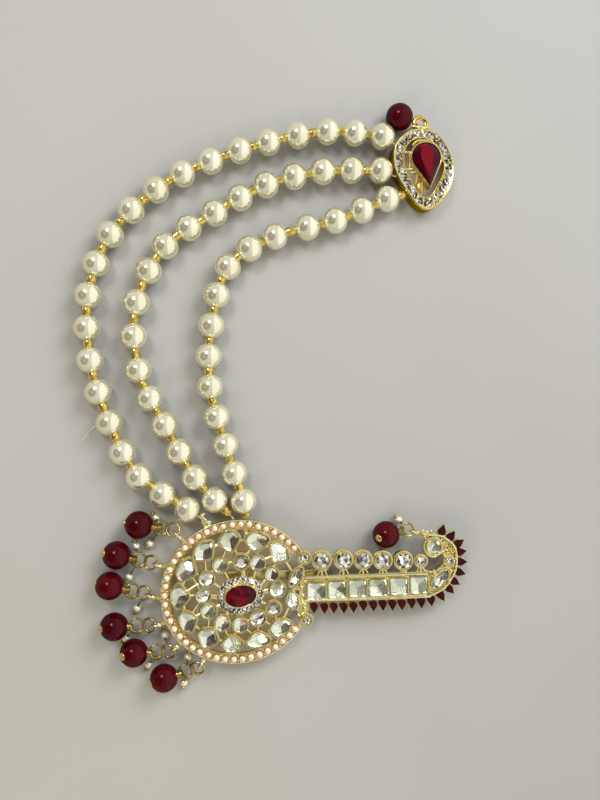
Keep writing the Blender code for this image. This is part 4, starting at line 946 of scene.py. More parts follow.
def disc_casting():
    made = Piece("disc_casting", [casting_gold, channel_gold], "pale_gold", ["kalgi_setting"])
    rings = (sorted([(row[0], row[1]) for row in PETALS] + [(row[0], row[1]) for row in LEAVES]),
             sorted([(row[0], row[1]) for row in BUDS]))
    for ring_row, drop_z in zip(rings, (0.0, 0.06)):
        places = [at(bearing, reach * DISC_R) for bearing, reach in ring_row]
        for (x0, y0), (x1, y1) in zip(places, places[1:] + places[:1]):
            made.add(bar(DISC_X + x0, DISC_Y + y0, DISC_X + x1, DISC_Y + y1, 0.95, 4.75 - drop_z,
                         5.65 - drop_z, 0.34, 2))
    for k, row in enumerate(PETALS):
        near = sorted(BUDS, key=lambda b: abs((b[0] - row[0] + 180) % 360 - 180))[:2]
        x0, y0 = at(row[0], row[1] * DISC_R)
        for bud in near:
            x1, y1 = at(bud[0], bud[1] * DISC_R)
            made.add(bar(DISC_X + x0, DISC_Y + y0, DISC_X + x1, DISC_Y + y1, 0.68, 4.78, 5.75, 0.28, 2))
    for k, bud in enumerate(BUDS):
        x0, y0 = at(bud[0], bud[1] * DISC_R)
        u, v = at(bud[0] - OVAL_TURN, 1.0)
        x1, y1 = moved([(HALO_LONG * u, HALO_SHORT * v)], OVAL_X - DISC_X, OVAL_Y - DISC_Y, OVAL_TURN)[0]
        made.add(bar(DISC_X + x0, DISC_Y + y0, DISC_X + x1, DISC_Y + y1, 1.5 if k % 3 == 0 else 0.9, 4.8,
                     5.65, 0.34, 2))
    for row in PETALS:
        outline = petal_outline(row)
        made.add(smooth(bezel(grown(outline, 0.04), 0.46, ledge=0.36)))
        made.add(slab(grown(outline, 0.3), BACK_Z, FLOOR_Z))
    for row in LEAVES:
        x, y = at(row[0], row[1] * DISC_R)
        outline = leaf_outline(row[3] * DISC_R, row[4] * DISC_R, DISC_X + x, DISC_Y + y, row[2])
        made.add(smooth(bezel(grown(outline, 0.04), 0.44, top=CUP_TOP_Z + 0.05, ledge=0.30)))
        made.add(slab(grown(outline, 0.3), BACK_Z, FLOOR_Z))
    for bearing, reach, radius, facets, dark in BUDS:
        x, y = at(bearing, reach * DISC_R)
        made.add(smooth(bezel(oval(radius * DISC_R, radius * DISC_R, 0.0, 32, DISC_X + x, DISC_Y + y), 0.40,
                              top=CUP_TOP_Z - 0.05, ledge=0.42 if dark else 0.26)))
        made.add(slab(oval(radius * DISC_R + 0.1, radius * DISC_R + 0.1, 0.0, 24, DISC_X + x, DISC_Y + y), BACK_Z,
                      FLOOR_Z))
    bearings = [RIM_FROM + (RIM_TO - RIM_FROM) * k / 110 for k in range(111)]
    middle = [rim_place(b) for b in bearings]
    floor = [(-1.3, 4.7), (1.3, 4.7), (1.3, RIM_FLOOR_Z - 0.1), (0.6, RIM_FLOOR_Z - 0.28), (-0.6, RIM_FLOOR_Z - 0.28),
             (-1.3, RIM_FLOOR_Z - 0.1)]
    made.add(smooth(sweep(middle, floor)), 1)
    outer_wall = [(1.12, 4.65), (1.45, 4.65), (1.47, 6.1), (1.40, 6.42), (1.27, 6.5), (1.15, 6.4)]
    inner_wall = [(-1.40, 4.75), (-1.14, 4.75), (-1.12, 6.25), (-1.2, 6.42), (-1.32, 6.44), (-1.42, 6.3)]
    made.add(smooth(sweep(middle, outer_wall)))
    made.add(smooth(sweep(middle, inner_wall)))
    grain = template(smooth(ball(0.34, 8, 6)))
    seats = even_places(middle, 41, start=1.1, end=1.1)
    for k in range(40):
        a, b = seats[k][0], seats[k + 1][0]
        way = (b - a).normalized()
        out = Vector((way.y, -way.x, 0.0))
        for side, z in ((0.82, 6.0), (-0.62, 6.0)):
            place = (a + b) / 2 + out * side
            made.add(grain, 0, Matrix.Translation((place.x, place.y, z)) @ Matrix.Scale(chance.uniform(0.8, 1.15), 4),
                     keep=True)
    halo_out = oval(HALO_LONG + 0.98, HALO_SHORT + 0.98, OVAL_TURN, 56, OVAL_X, OVAL_Y)
    made.add(smooth(sweep(flat_path(oval(HALO_LONG, HALO_SHORT, OVAL_TURN, 56, OVAL_X, OVAL_Y), 0.0),
                          [(-1.3, BACK_Z), (0.85, BACK_Z), (0.88, 5.8), (0.7, 6.05), (-0.6, 6.05), (-1.3, 5.8)],
                          closed=True)))
    made.add(smooth(bezel(oval(OVAL_LONG + 0.02, OVAL_SHORT + 0.02, OVAL_TURN, 56, OVAL_X, OVAL_Y), 0.34, low=5.6,
                          top=7.4, ledge=0.1)))
    made.add(slab(oval(OVAL_LONG + 0.2, OVAL_SHORT + 0.2, OVAL_TURN, 40, OVAL_X, OVAL_Y), BACK_Z, FLOOR_Z))
    for place, way in even_places(flat_path(halo_out, 6.25), 27, closed=True):
        made.add(grain, 0, Matrix.Translation(place) @ Matrix.Scale(chance.uniform(0.6, 0.9), 4), keep=True)
    plate = [(0.90, 0.30), (1.01, 0.33), (1.03, -0.30), (0.97, -0.40), (0.86, -0.34), (0.90, -0.10), (0.93, 0.06)]
    made.add(slab(rounded([on_disc(x, y) for x, y in plate], 0.25, 1), 4.7, 5.5, 0.12))
    for x, y, r in ((0.955, 0.23, 0.6), (0.985, 0.12, 0.5), (0.945, 0.03, 0.75), (0.975, -0.10, 0.6),
                    (0.945, -0.22, 0.8), (0.985, -0.31, 0.55), (0.90, -0.38, 0.6), (0.93, 0.33, 0.5)):
        made.add(smooth(ball(r, 12, 8, 0.8)), 0, Matrix.Translation((*on_disc(x, y), 5.7)))
    for row in DROPS[:6]:
        add_ear(made, row)
    for name in ROUTES:
        add_lug(made, name)
    hook = curve_through([Vector((-20.6, 15.6, 5.6)), Vector((-21.6, 17.1, 6.0)), Vector((-22.9, 18.6, 6.1)),
                          Vector((-22.0, 19.0, 5.9))], steps=6)
    made.add(smooth(wire(hook, 0.42, 8)))
    bpy.data.meshes.remove(grain)
    made.done()


def add_ear(made, row):
    foot, ear, away = drop_places(row)[:3]
    a = foot - away * 0.4
    b = ear - away * (EAR_HOLE_R + 0.1)
    made.add(bar(a.x, a.y, b.x, b.y, 1.25, EAR_Z - 0.28, EAR_Z + 0.5, soft=0.3))
    made.add(smooth(ring((ear.x, ear.y, EAR_Z), EAR_HOLE_R + EAR_WIRE * 0.5, EAR_WIRE, (away.x, away.y, 0), UP, 28, 10)))
    made.add(smooth(ball(0.85, 12, 8)), 0, Matrix.Translation((b.x, b.y, EAR_Z + 0.25)))


def add_lug(made, name):
    row = DISC_ENDS[name]
    x, y = on_disc(row[0], row[1])
    u, v = at(row[2] + 90.0, 1.0)
    c, s = at(row[2], 1.0)
    middle = Vector((x, y, 3.05))
    made.add(smooth(ring(middle, 0.98, 0.36, (u, v, 0.0), UP, 24, 8)))
    made.add(bar(x - u * 0.5, y - v * 0.5, x + u * 0.5, y + v * 0.5, 0.8, 4.0, 5.3, soft=0.15))
    inward = Vector((DISC_X - x, DISC_Y - y)).normalized()
    made.add(bar(x, y, x + inward.x * 3.0, y + inward.y * 3.0, 1.3, 4.75, 5.45, soft=0.15))


def rim_pearls():
    made = Piece("rim_seed_pearls", [seed_coat], "pearl")
    seed = template(smooth(ball(1.0, 20, 12)))
    middle = [rim_place(RIM_FROM + (RIM_TO - RIM_FROM) * k / 200, 0.12) for k in range(201)]
    for place, way in even_places(middle, 41, start=1.1, end=1.1):
        z = 6.35 + chance.uniform(-0.05, 0.05)
        shift = Vector((chance.uniform(-0.1, 0.1), chance.uniform(-0.1, 0.1), 0.0))
        made.add(seed, 0, Matrix.Translation(place + shift + UP * z) @ Matrix.Rotation(chance.uniform(0, 3), 4, "Y")
                 @ Matrix.Scale(chance.uniform(0.93, 1.03), 4), keep=True)
    bpy.data.meshes.remove(seed)
    made.done()


def disc_stones():
    names = [f"petal_stone_{k:02d}" for k in range(1, 12)] + ["leaf_stone_1", "leaf_stone_2"]
    made = Piece("disc_kundan_stones", [foil_painted_light, foil_painted_half_shade, foil_painted_shade, clear_glass], "clear_stone", names)
    for row in PETALS:
        kundan(made, petal_outline(row), row[8])
    for row in LEAVES:
        x, y = at(row[0], row[1] * DISC_R)
        kundan(made, leaf_outline(row[3] * DISC_R, row[4] * DISC_R, DISC_X + x, DISC_Y + y, row[2]), row[5], slope=24.0)
    for bearing, reach, radius, facets, dark in BUDS:
        x, y = at(bearing, reach * DISC_R)
        r = radius * DISC_R - 0.05
        points = oval(r, r, 0.0, 20, DISC_X + x, DISC_Y + y)
        if dark:
            made.add(foil_bowl(points, ((0, 2), (60, 2), (120, 2), (180, 2), (240, 2), (300, 2)), STONE_LOW_Z, 5.9, 24.0))
            made.add(foil_bowl(oval(r * 0.48, r * 0.48, 0.0, 12, DISC_X + x - 0.1, DISC_Y + y), facets, 6.0, 6.35, 12.0))
            made.add(clear_lid(points, 6.65, 6.85, 7.45), 3)
        else:
            kundan(made, points, facets, peak=7.45, slope=20.0)
    made.done(20.0)


def centre_garnet(made, points, girdle, table, low, share, turn, sunk, tones):
    """Faceted garnet: sunk table star, a crown of kite facets and a band under the girdle."""
    shape = slab(points, low, girdle)
    top = [f for f in shape.faces if f.normal.z > 0.9]
    x, y = middle_of(points)
    around = bmesh.ops.extrude_face_region(shape, geom=top)["geom"]
    verts = [g for g in around if isinstance(g, bmesh.types.BMVert)]
    lean = Matrix.Rotation(math.radians(turn), 4, "Z")
    bmesh.ops.transform(shape, verts=verts, matrix=Matrix.Translation((x, y, table)) @ lean
                        @ Matrix.Diagonal((*share, 0.0, 1.0)) @ lean.inverted() @ Matrix.Translation((-x, -y, 0.0)))
    bmesh.ops.delete(shape, geom=[f for f in top if f.is_valid], context="FACES_ONLY")
    crown = [f for f in shape.faces if len(f.verts) == 4 and f.calc_center_median().z > girdle + 0.02]
    bmesh.ops.triangulate(shape, faces=crown, quad_method="ALTERNATE")
    bmesh.ops.poke(shape, faces=[f for f in shape.faces if len(f.verts) > 4 and f.calc_center_median().z > girdle],
                   offset=-sunk)
    bmesh.ops.recalc_face_normals(shape, faces=shape.faces)
    for face in shape.faces:
        face.smooth = False
        c = face.calc_center_median()
        bearing = math.degrees(math.atan2(c.y - y, c.x - x)) % 360
        # each facet takes a painted light or painted shade copy of the garnet by its bearing and height
        face.material_index = tones(bearing, c.z, (c.x - x) * lean[1][0] * -1 + (c.y - y) * lean[0][0])
    made.add(shape)


def pave(places, made, size, z):
    """Small crystals set side by side; every place has its own turn."""
    for place, way in places:
        turn = math.degrees(math.atan2(way.y, way.x))
        where = (Matrix.Translation((place.x, place.y, z + chance.uniform(-0.04, 0.04)))
                 @ Matrix.Rotation(math.radians(turn + chance.uniform(-12, 12)), 4, "Z")
                 @ Matrix.Rotation(chance.uniform(-0.12, 0.12), 4, "X") @ Matrix.Scale(size * chance.uniform(0.94, 1.05), 4))
        made.add(small_crystals[chance.randrange(4)], 0, where, keep=True)


def disc_centre():
    made = Piece("halo_crystals", [ice_painted_light, ice_painted_half_shade, ice_painted_shade], "clear_stone")
    path = flat_path(oval(HALO_LONG + 0.02, HALO_SHORT + 0.02, OVAL_TURN, 80, OVAL_X, OVAL_Y), 0.0)
    pave(even_places(path, 25, closed=True), made, 0.90, 6.5)
    made.done(20.0)
    made = Piece("oval_centre_garnet", [wine_painted_shade, wine_painted_half_shade, wine_painted_light], "garnet", ["oval_garnet"])
    points = oval(OVAL_LONG, OVAL_SHORT, OVAL_TURN, 16, OVAL_X, OVAL_Y)

    # painted tones for the oval's facets: 0 painted shade, 1 painted half shade, 2 painted light, by bearing and height
    def tones(bearing, z, across):
        if z > 7.75:
            return (0, 1, 0, 0, 1, 1, 2, 1)[int(bearing / 45)]
        return (0, 0, 1, 0, 1, 0, 2, 1, 0)[int(bearing / 40)]

    centre_garnet(made, points, 7.2, 8.0, STONE_LOW_Z, (0.56, 0.56), OVAL_TURN, 0.14, tones)
    made.done(5.0)


# the side arm

def arm_outline():
    outer = [Vector((*on_disc(x, y), 0.0)) for x, y in ARM_OUTER]
    inner = [Vector((*on_disc(x, y), 0.0)) for x, y in ARM_INNER]
    return curve_through(outer, steps=6), curve_through(inner, steps=6)


def arm_casting():
    made = Piece("arm_casting", [casting_gold, channel_gold], "pale_gold")
    outer, inner = arm_outline()
    whole = [(p.x, p.y) for p in outer + inner]
    made.add(slab(grown(whole, -0.10), 4.65, 5.35, 0.1))
    rail = round_section(0.34, 8, 6.5)
    wall = [(-0.40, 4.8), (-0.02, 4.8), (0.02, 6.5), (-0.08, 6.75), (-0.24, 6.78), (-0.38, 6.6)]
    made.add(smooth(sweep(outer, wall)))
    made.add(smooth(sweep(inner, wall)))
    grain = template(smooth(ball(0.30, 8, 6)))
    length = sum((b - a).length for a, b in zip(outer, outer[1:]))
    for place, way in even_places(outer, int(length / 0.56), start=0.3, end=0.3):
        out = Vector((way.y, -way.x, 0.0))
        made.add(grain, 0, Matrix.Translation(place - out * 0.42 + UP * 6.72) @ Matrix.Scale(chance.uniform(0.85, 1.1), 4),
                 keep=True)
    for x, y, facets in ARM_STONES:
        cx, cy = on_disc(x, y)
        made.add(smooth(bezel(square_outline(ARM_STONE_W + 0.2, ARM_STONE_H + 0.1, cx, cy), 0.34, top=6.72)))
        made.add(slab(square_outline(ARM_STONE_W, ARM_STONE_H, cx, cy), 5.2, 5.45))
    x, y, turn, facets = LENS
    outline = leaf_outline(LENS_LENGTH, LENS_WIDTH, *on_disc(x, y), turn)
    made.add(smooth(bezel(grown(outline, 0.12))))
    x, y, facets = ROUND_STONE
    cx, cy = on_disc(x, y)
    made.add(smooth(bezel(oval(ROUND_STONE_R + 0.1, ROUND_STONE_R + 0.1, 0.0, 36, cx, cy), 0.42, top=7.1)))
    made.add(smooth(ring((cx, cy, 6.1), ROUND_STONE_R + 0.86, 0.26, (1, 0, 0), (0, 1, 0), 40, 8)))
    made.add(slab(oval(ROUND_STONE_R, ROUND_STONE_R, 0.0, 30, cx, cy), 4.9, 5.45))
    inner_flat = [(p.x, p.y) for p in inner]
    taken = [(Vector(on_disc(LENS[0], LENS[1])), 1.9), (Vector((cx, cy)), ROUND_STONE_R + 0.9)]
    outline_points = [Vector((p.x, p.y)) for p in outer]
    for _ in range(900):
        px, py = on_disc(chance.uniform(2.72, 3.30), chance.uniform(-0.12, 0.82))
        p = Vector((px, py))
        if any((p - c).length < r for c, r in taken) or not inside(p, whole):
            continue
        lens_along = (p - taken[0][0]).dot(Vector(at(LENS[2], 1.0)))
        lens_across = (p - taken[0][0]).dot(Vector(at(LENS[2] + 90, 1.0)))
        if abs(lens_along) < LENS_LENGTH / 2 + 0.3 and abs(lens_across) < LENS_WIDTH / 2 * (1.25 - abs(lens_along) / LENS_LENGTH * 1.6) + 0.35:
            continue
        if px < on_disc(2.86, 0)[0] and py < on_disc(0, 0.2)[1]:
            continue
        if any((p - q).length < 0.6 for q in granules):
            continue
        granules.append(p)
        made.add(grain, 0, Matrix.Translation((px, py, 5.75)) @ Matrix.Diagonal((1.5, 1.5, 2.6, 1.0))
                 @ Matrix.Scale(chance.uniform(0.8, 1.15), 4), keep=True)
    for k in range(5):
        x0, y0, _ = ARM_STONES[k]
        x1, y1, _ = ARM_STONES[k + 1]
        cx, cy = on_disc((x0 + x1) / 2, (y0 + y1) / 2)
        made.add(bar(cx, cy - ARM_STONE_H / 2, cx, cy + ARM_STONE_H / 2, 0.36, 5.2, 6.8, soft=0.1))
    for side in (0.165, -0.150):
        rail_path = [Vector((*on_disc(x, side + (0.02 * (x - 1.0) / 1.8)), 6.4)) for x in (1.0, 1.4, 1.8, 2.2, 2.6, 2.84)]
        made.add(smooth(wire(curve_through(rail_path, steps=4), 0.30, 8)))
    for x, y, radius, post in CRYSTALS:
        cx, cy = on_disc(x, y)
        r = radius * DISC_R
        made.add(smooth(bezel(oval(r - 0.62, r - 0.62, 0.0, 32, cx, cy), 0.36, low=4.8, top=7.0)))
        made.add(smooth(ring((cx, cy, 5.6), r - 0.14, 0.2, (1, 0, 0), (0, 1, 0), 36, 8)))
        made.add(slab(oval(r - 0.5, r - 0.5, 0.0, 24, cx, cy), 4.85, 5.5))
        if post:
            px, py = on_disc(post, 0.17)
            made.add(bar(px, py, cx, cy - r * 0.6, 0.72, 5.1, 6.2, soft=0.2))
            for way in (-1, 1):
                curl = curve_through([Vector((px + way * 0.2, cy - r - 0.05, 5.9)), Vector((px + way * 0.85, cy - r - 0.45, 5.85)),
                                      Vector((px + way * 1.6, py + 0.25, 5.8))], steps=5)
                made.add(smooth(wire(curl, 0.2, 7)))
    for a, b in zip(CRYSTALS[1:7], CRYSTALS[2:7]):
        x0, y0 = on_disc(a[0], a[1])
        x1, y1 = on_disc(b[0], b[1])
        reach = (x1 - x0) / 2
        mid = (x0 + a[2] * DISC_R + x1 - b[2] * DISC_R) / 2
        made.add(bar(x0 + a[2] * DISC_R - 0.4, y0, x1 - b[2] * DISC_R + 0.4, y1, 0.5, 5.0, 5.7))
    for x0, y0, x1, y1, width in TIES:
        a, b = on_disc(x0, y0), on_disc(x1, y1)
        made.add(bar(*a, *b, width * DISC_R, 4.72, 5.45))
    for place, out in tooth_places(outer):
        made.add(slab(tooth_outline(place, out, 0.16), 5.0, 5.85, 0.08))
    for x, y, r in ((2.83, 0.815, 0.62), (2.775, 0.83, 0.5), (2.90, 0.83, 0.45), (0.975, -0.20, 0.85), (0.99, -0.27, 0.6)):
        px, py = on_disc(x, y)
        made.add(smooth(ball(r, 14, 10)), 0, Matrix.Translation((px, py, 6.0)))
    add_ear(made, DROPS[6])
    bpy.data.meshes.remove(grain)
    made.done()


granules = []


def inside(p, outline):
    hit = False
    for k in range(len(outline)):
        (x0, y0), (x1, y1) = outline[k - 1], outline[k]
        if (y0 > p.y) != (y1 > p.y) and p.x < (x1 - x0) * (p.y - y0) / (y1 - y0) + x0:
            hit = not hit
    return hit


def tooth_places(outer):
    """Foot and outward direction of each garnet point, square to the arm's edge."""
    out = []
    for x, y in TEETH:
        want = Vector((*on_disc(x, y), 0.0))
        near = min(range(len(outer)), key=lambda k: (outer[k] - want).length)
        run = (outer[min(near + 4, len(outer) - 1)] - outer[max(near - 4, 0)]).normalized()
        way = Vector((run.y, -run.x, 0.0))
        out.append((want - way * 1.15, way))
    return out


def tooth_outline(place, out, grow=0.0):
    """Drop outline: round by the arm, pointed outwards."""
    half = [(0.0, 0.55), (0.18, 0.95), (0.6, 1.18), (1.15, 1.20), (1.75, 0.98), (2.45, 0.52), (3.2, 0.06)]
    shape = [(a, -b) for a, b in half] + [(a, b) for a, b in reversed(half)]
    placed = moved(shape, place.x, place.y, math.degrees(math.atan2(out.y, out.x)))
    return grown(placed, grow) if grow else placed


def arm_teeth():
    made = Piece("arm_garnet_points", [tooth_wine], "garnet")
    for place, out in tooth_places(arm_outline()[0]):
        shape = slab(tooth_outline(place, out), 5.6, 6.5, 0.22, 1)
        for face in shape.faces:
            face.smooth = False
        made.add(shape)
    made.done(20.0)


def arm_stones():
    names = [f"arm_stone_{k}" for k in range(1, 7)] + ["lens_stone", "round_stone"]
    made = Piece("arm_kundan_stones", [foil_painted_light, foil_painted_half_shade, foil_painted_shade, clear_glass], "clear_stone", names)
    for x, y, facets in ARM_STONES:
        kundan(made, square_outline(ARM_STONE_W - 0.1, ARM_STONE_H - 0.1, *on_disc(x, y)), facets, slope=11.0)
    x, y, turn, facets = LENS
    kundan(made, leaf_outline(LENS_LENGTH, LENS_WIDTH, *on_disc(x, y), turn), facets, slope=22.0)
    x, y, facets = ROUND_STONE
    kundan(made, oval(ROUND_STONE_R, ROUND_STONE_R, 0.0, 20, *on_disc(x, y)), facets, peak=7.85, slope=19.0)
    made.done(20.0)
    made = Piece("arm_crystals", [ice_painted_light, ice_painted_half_shade, ice_painted_shade], "clear_stone")
    for k, (x, y, radius, post) in enumerate(CRYSTALS):
        cx, cy = on_disc(x, y)
        made.add(large_crystals[k % 3], 0, Matrix.Translation((cx, cy, 6.7)) @ Matrix.Rotation(k * 0.7, 4, "Z")
                 @ Matrix.Scale(radius * DISC_R - 0.55, 4), keep=True)
    made.done(20.0)


# the clasp

def pear_outline(grow=0.0, steps=22):
    head = PEAR_WIDTH / 2
    middle = PEAR_LENGTH - head
    lean = math.degrees(math.asin(head / middle))
    points = [(0.0, 0.0)]
    for step in range(steps):
        u, v = at(-90.0 - lean * 0.72 + (180.0 + lean * 1.44) * step / (steps - 1), head)
        points.append((middle + u, v))
    placed = moved(points, PEAR_TIP_X, PEAR_TIP_Y, PEAR_TURN)
    return grown(placed, grow) if grow else placed


def clasp_casting():
    made = Piece("clasp_casting", [clasp_gold, casting_gold, channel_gold], "clasp_gold", ["clasp_setting"])
    outside = curve_through([Vector((CLASP_X + at(b, o * CLASP_R)[0], CLASP_Y + at(b, o * CLASP_R)[1], 0.0))
                             for b, o, i in CLASP_EDGE], closed=True, steps=7)
    inside_edge = curve_through([Vector((CLASP_X + at(b, i * CLASP_R)[0], CLASP_Y + at(b, i * CLASP_R)[1], 0.0))
                                 for b, o, i in CLASP_EDGE], closed=True, steps=7)
    middle = [(a + b) / 2 for a, b in zip(outside, inside_edge)]
    made.add(smooth(sweep(outside, [(-1.0, 4.25), (-0.25, 4.2), (-0.02, 4.5), (0.0, 5.4), (-0.12, 5.85), (-0.3, 5.98),
                                    (-0.5, 5.9), (-0.56, 5.5), (-0.9, 5.35)], closed=True)), 0)
    made.add(smooth(sweep(outside, [(-0.42, 0.0), (-0.25, 0.1), (-0.22, 3.9), (-0.05, 4.3), (-1.1, 4.45), (-1.5, 4.3),
                                    (-1.5, 0.1), (-1.35, 0.0)], closed=True)))
    made.add(smooth(sweep(middle, [(-1.25, 4.3), (1.3, 4.3), (1.3, 5.25), (-1.25, 5.25)], closed=True)))
    made.add(smooth(sweep(inside_edge, [(-0.12, 4.25), (0.42, 4.25), (0.4, 5.6), (0.22, 5.85), (0.0, 5.85),
                                        (-0.12, 5.6)], closed=True)))
    grain = template(smooth(ball(0.26, 8, 6)))
    for edge, side in ((outside, -0.75), (inside_edge, 0.42)):
        for place, way in even_places(edge, 46, closed=True):
            out = Vector((way.y, -way.x, 0.0))
            made.add(grain, 0, Matrix.Translation(place + out * side + UP * 5.55) @ Matrix.Scale(chance.uniform(0.7, 1.1), 4),
                     keep=True)
    bpy.data.meshes.remove(grain)
    pear = pear_outline(0.1)
    made.add(smooth(bezel(pear, 0.42, low=3.6, top=6.35, ledge=0.12)), 0)
    made.add(slab(pear_outline(0.45), 3.0, 3.9))
    for x0, y0, x1, y1 in CLASP_STRUTS:
        a = Vector((CLASP_X + x0 * CLASP_R, CLASP_Y + y0 * CLASP_R, 4.95))
        b = Vector((CLASP_X + x1 * CLASP_R, CLASP_Y + y1 * CLASP_R, 5.0))
        path = curve_through([a, a.lerp(b, 0.5) + Vector((0, 0, 0.25)), b], steps=6)
        made.add(smooth(wire(path, 0.34, 8)))
    crown = curve_through([Vector((CLASP_X + at(b, r * CLASP_R)[0], CLASP_Y + at(b, r * CLASP_R)[1], 5.3))
                           for b, r in ((118, 0.58), (104, 0.645), (90, 0.655), (76, 0.645), (62, 0.56))], steps=6)
    made.add(smooth(wire(crown, 0.36, 8)))
    low = curve_through([Vector((CLASP_X + at(b, r * CLASP_R)[0], CLASP_Y + at(b, r * CLASP_R)[1], 5.1))
                         for b, r in ((205, 0.36), (222, 0.22), (240, 0.30), (248, 0.5))], steps=6)
    made.add(smooth(wire(low, 0.3, 8)))
    blob = Matrix.Translation((CLASP_X - CLASP_R * 0.06, CLASP_Y - CLASP_R * 0.52, 4.9)) @ Matrix.Diagonal((1.3, 1.9, 0.6, 1.0))
    made.add(smooth(ball(1.0, 16, 10)), 2, blob)
    ring_x, ring_y = CLASP_X - CLASP_R * 0.05, CLASP_Y + CLASP_R * 1.11667
    made.add(smooth(ring((ring_x, ring_y + 0.1, 3.9), 1.8, 0.55, (0, -1, 0), (1, 0, 0), 36, 10)))
    made.add(smooth(ring((ring_x + 0.5, ring_y - 0.3, 4.8), 1.5, 0.36, (0.2, -1, 0.3), (1, 0.2, 0.2), 32, 8)))
    band = curve_through([Vector((ring_x - 2.4, ring_y - 1.3, 4.6)), Vector((ring_x, ring_y - 1.9, 5.5)),
                          Vector((ring_x + 2.4, ring_y - 1.4, 4.6))], steps=7)
    made.add(smooth(wire(band, 0.55, 10)))
    made.add(bar(ring_x - 2.0, ring_y - 2.2, ring_x + 2.0, ring_y - 2.2, 1.5, 2.9, 5.0, soft=0.3))
    made.done()
    stones = Piece("clasp_crystals", [ice_painted_half_shade, ice_painted_light, ice_painted_shade], "clear_stone")
    pave(even_places(middle, 25, closed=True), stones, 1.24, 5.5)
    stones.done(20.0)
    gem = Piece("pear_centre_garnet", [wine_painted_shade, wine_painted_half_shade, wine_painted_light], "garnet", ["pear_garnet"])

    # painted tones for the pear's facets: painted light on its table, painted half shade in two bands, painted shade
    # elsewhere
    def tones(bearing, z, across):
        if z > 7.1:
            return 2
        return 1 if 262 <= bearing < 284 or 96 < bearing < 140 else 0

    centre_garnet(gem, pear_outline(0.02, 13), 6.2, 7.35, 3.9, (0.70, 0.44), PEAR_TURN, 0.03, tones)
    gem.done(5.0)


def clasp_bead():
    drop_bead("bead_clasp", "garnet_bead_8", Vector((CLASP_X - CLASP_R * 0.575, CLASP_Y + CLASP_R * 1.25)),
              Vector(at(205.0, 1.0)), None, -30.0)


def pin():
    made = Piece("pin_bar", [pin_gold], "pale_gold", ["turban_pin"])
    half = PIN_LENGTH / 2
    outline = [(-half, -PIN_WIDTH / 2), (half - 1.6, -PIN_WIDTH / 2), (half, PIN_WIDTH / 2), (-half, PIN_WIDTH / 2)]
    made.add(slab(rounded(outline, 0.06, 1), 0.0, PIN_THICK, 0.3, 2))
    for x in (-10.5, 9.0):
        made.add(bar(x - 1.2, 0.0, x + 1.2, 0.0, PIN_WIDTH * 0.7, PIN_THICK - 0.3, 4.3, soft=0.2))
    made.done()


# tone lists for each crystal pattern, as indices into the painted light, half shade and shade finishes of the piece
small_crystals = [template(brilliant(0.8, 4, tones)) for tones in
                  ((0, 1, 1, 2), (0, 1, 2, 2), (0, 0, 1, 2), (1, 1, 2, 0))]
large_crystals = [template(brilliant(0.6, 8, tones)) for tones in
                  ((0, 0, 1, 1, 2), (0, 0, 1, 1, 1, 2), (0, 0, 0, 1, 2))]
pearl_pattern = drilled_pearl()
for string in ROUTES:
    pearl_string(string, pearl_pattern)
for hung in DROPS:
    drop(hung)
hung_seeds()
disc_casting()
rim_pearls()
disc_stones()
disc_centre()
arm_casting()
arm_teeth()
arm_stones()
clasp_casting()
clasp_bead()
pin()
for pattern in small_crystals + large_crystals + [pearl_pattern]:
    bpy.data.meshes.remove(pattern)


# floor, lights and camera

def floor():
    shape = bmesh.new()
    bmesh.ops.create_grid(shape, x_segments=2, y_segments=2, size=1.5)
    mesh = bpy.data.meshes.new("table_top")
    shape.to_mesh(mesh)
    shape.free()
    item = bpy.data.objects.new("table_top", mesh)
    bpy.context.scene.collection.objects.link(item)
    paper = finish_with("table_paper", GLAZE, {"First": (0.355, 0.352, 0.342), "Second": (0.373, 0.370, 0.359),
                                               "Cloud Scale": 9.0, "Rough Low": 0.45, "Rough High": 0.6},
                        bump=0.05, depth=0.2, specular=0.3)
    mesh.materials.append(paper)


def area_light(name, place, target, size, energy, colour, mirrored=True):
    data = bpy.data.lights.new(name, "AREA")
    data.shape = "RECTANGLE"
    data.size, data.size_y = size
    data.energy = energy
    data.color = colour
    item = bpy.data.objects.new(name, data)
    way = Vector(target) - Vector(place)
    item.rotation_euler = way.to_track_quat("-Z", "Y").to_euler()
    item.location = place
    item.visible_glossy = mirrored
    item.visible_camera = False
    bpy.context.scene.collection.objects.link(item)


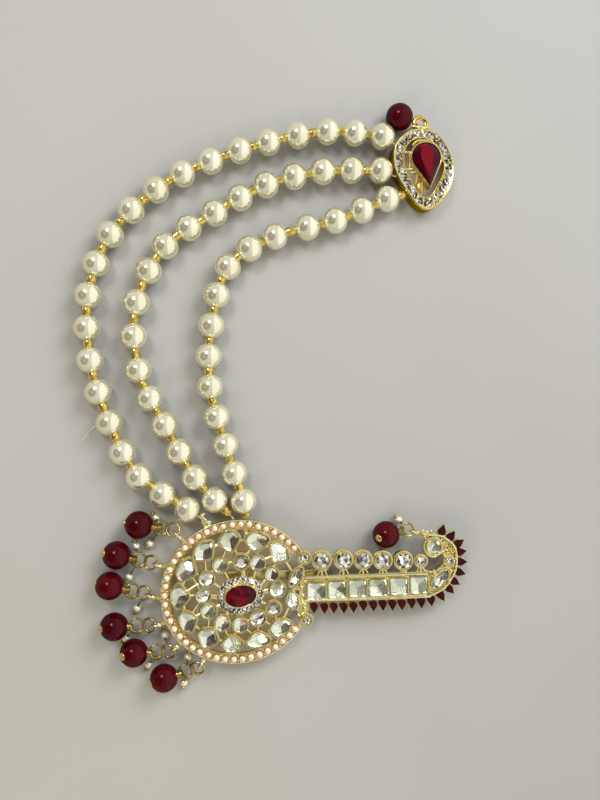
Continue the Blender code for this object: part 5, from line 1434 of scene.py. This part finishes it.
floor()
area_light("key", (-0.30, 0.52, 0.80), (0.0, 0.05, 0.0), (0.26, 0.26), 3.05, (1.0, 0.99, 0.96))
area_light("window", (0.30, 0.40, 0.42), (0.05, 0.15, 0.0), (0.30, 0.30), 2.8, (0.97, 0.99, 1.0), False)
area_light("lamp", (-0.22, -0.24, 0.30), (-0.10, -0.10, 0.0), (0.20, 0.20), 0.72, (1.0, 0.86, 0.62), False)
area_light("disc_bounce", (-0.0125, -0.0037, 0.0042), (-0.0125, -0.0037, 0.0), (0.030, 0.030), 0.0014,
           (1.0, 0.74, 0.30), False)
area_light("clasp_bounce", (0.0430, 0.1215, 0.0026), (0.0430, 0.1215, 0.0), (0.011, 0.012), 0.0003,
           (1.0, 0.80, 0.55), False)


def room_light():
    """Soft room light: brighter on the right of a sharp edge, and dim where the one who looks would stand."""
    world = bpy.data.worlds.new("studio")
    world.use_nodes = True
    nodes, links = world.node_tree.nodes, world.node_tree.links
    glow = nodes["Background"]
    way = nodes.new("ShaderNodeTexCoord").outputs["Generated"]
    split = nodes.new("ShaderNodeSeparateXYZ")
    links.new(way, split.inputs[0])
    right = range_node(nodes, links, split.outputs["X"], 0.29, 0.37)
    side = mix_node(nodes, links, right, (0.54, 0.53, 0.49), (1.00, 0.99, 0.95))
    gap = nodes.new("ShaderNodeVectorMath")
    gap.operation = "DISTANCE"
    links.new(way, gap.inputs[0])
    gap.inputs[1].default_value = Vector((-0.66, -0.10, 0.75)).normalized()
    dim = range_node(nodes, links, gap.outputs["Value"], 0.56, 0.64)
    core = range_node(nodes, links, gap.outputs["Value"], 0.12, 0.24)
    patch = mix_node(nodes, links, core, (0.26, 0.24, 0.18), (0.10, 0.09, 0.06))
    seen = mix_node(nodes, links, nodes.new("ShaderNodeLightPath").outputs["Is Camera Ray"],
                    mix_node(nodes, links, dim, patch, side), (0.36, 0.355, 0.34))
    links.new(seen, glow.inputs["Color"])
    glow.inputs["Strength"].default_value = 1.0
    bpy.context.scene.world = world


room_light()

view = bpy.data.cameras.new("camera")
view.lens = 34.2
view.sensor_width = 36.0
view.clip_start = 0.01
camera = bpy.data.objects.new("camera", view)
camera.matrix_world = Matrix(((0.99287684, 0.0, -0.11914522, -0.020773), (0.0, 1.0, 0.0, 0.052081),
                              (0.11914522, 0.0, 0.99287684, 0.228), (0.0, 0.0, 0.0, 1.0)))
bpy.context.scene.collection.objects.link(camera)
bpy.context.scene.camera = camera
bpy.context.scene.view_settings.view_transform = "Standard"
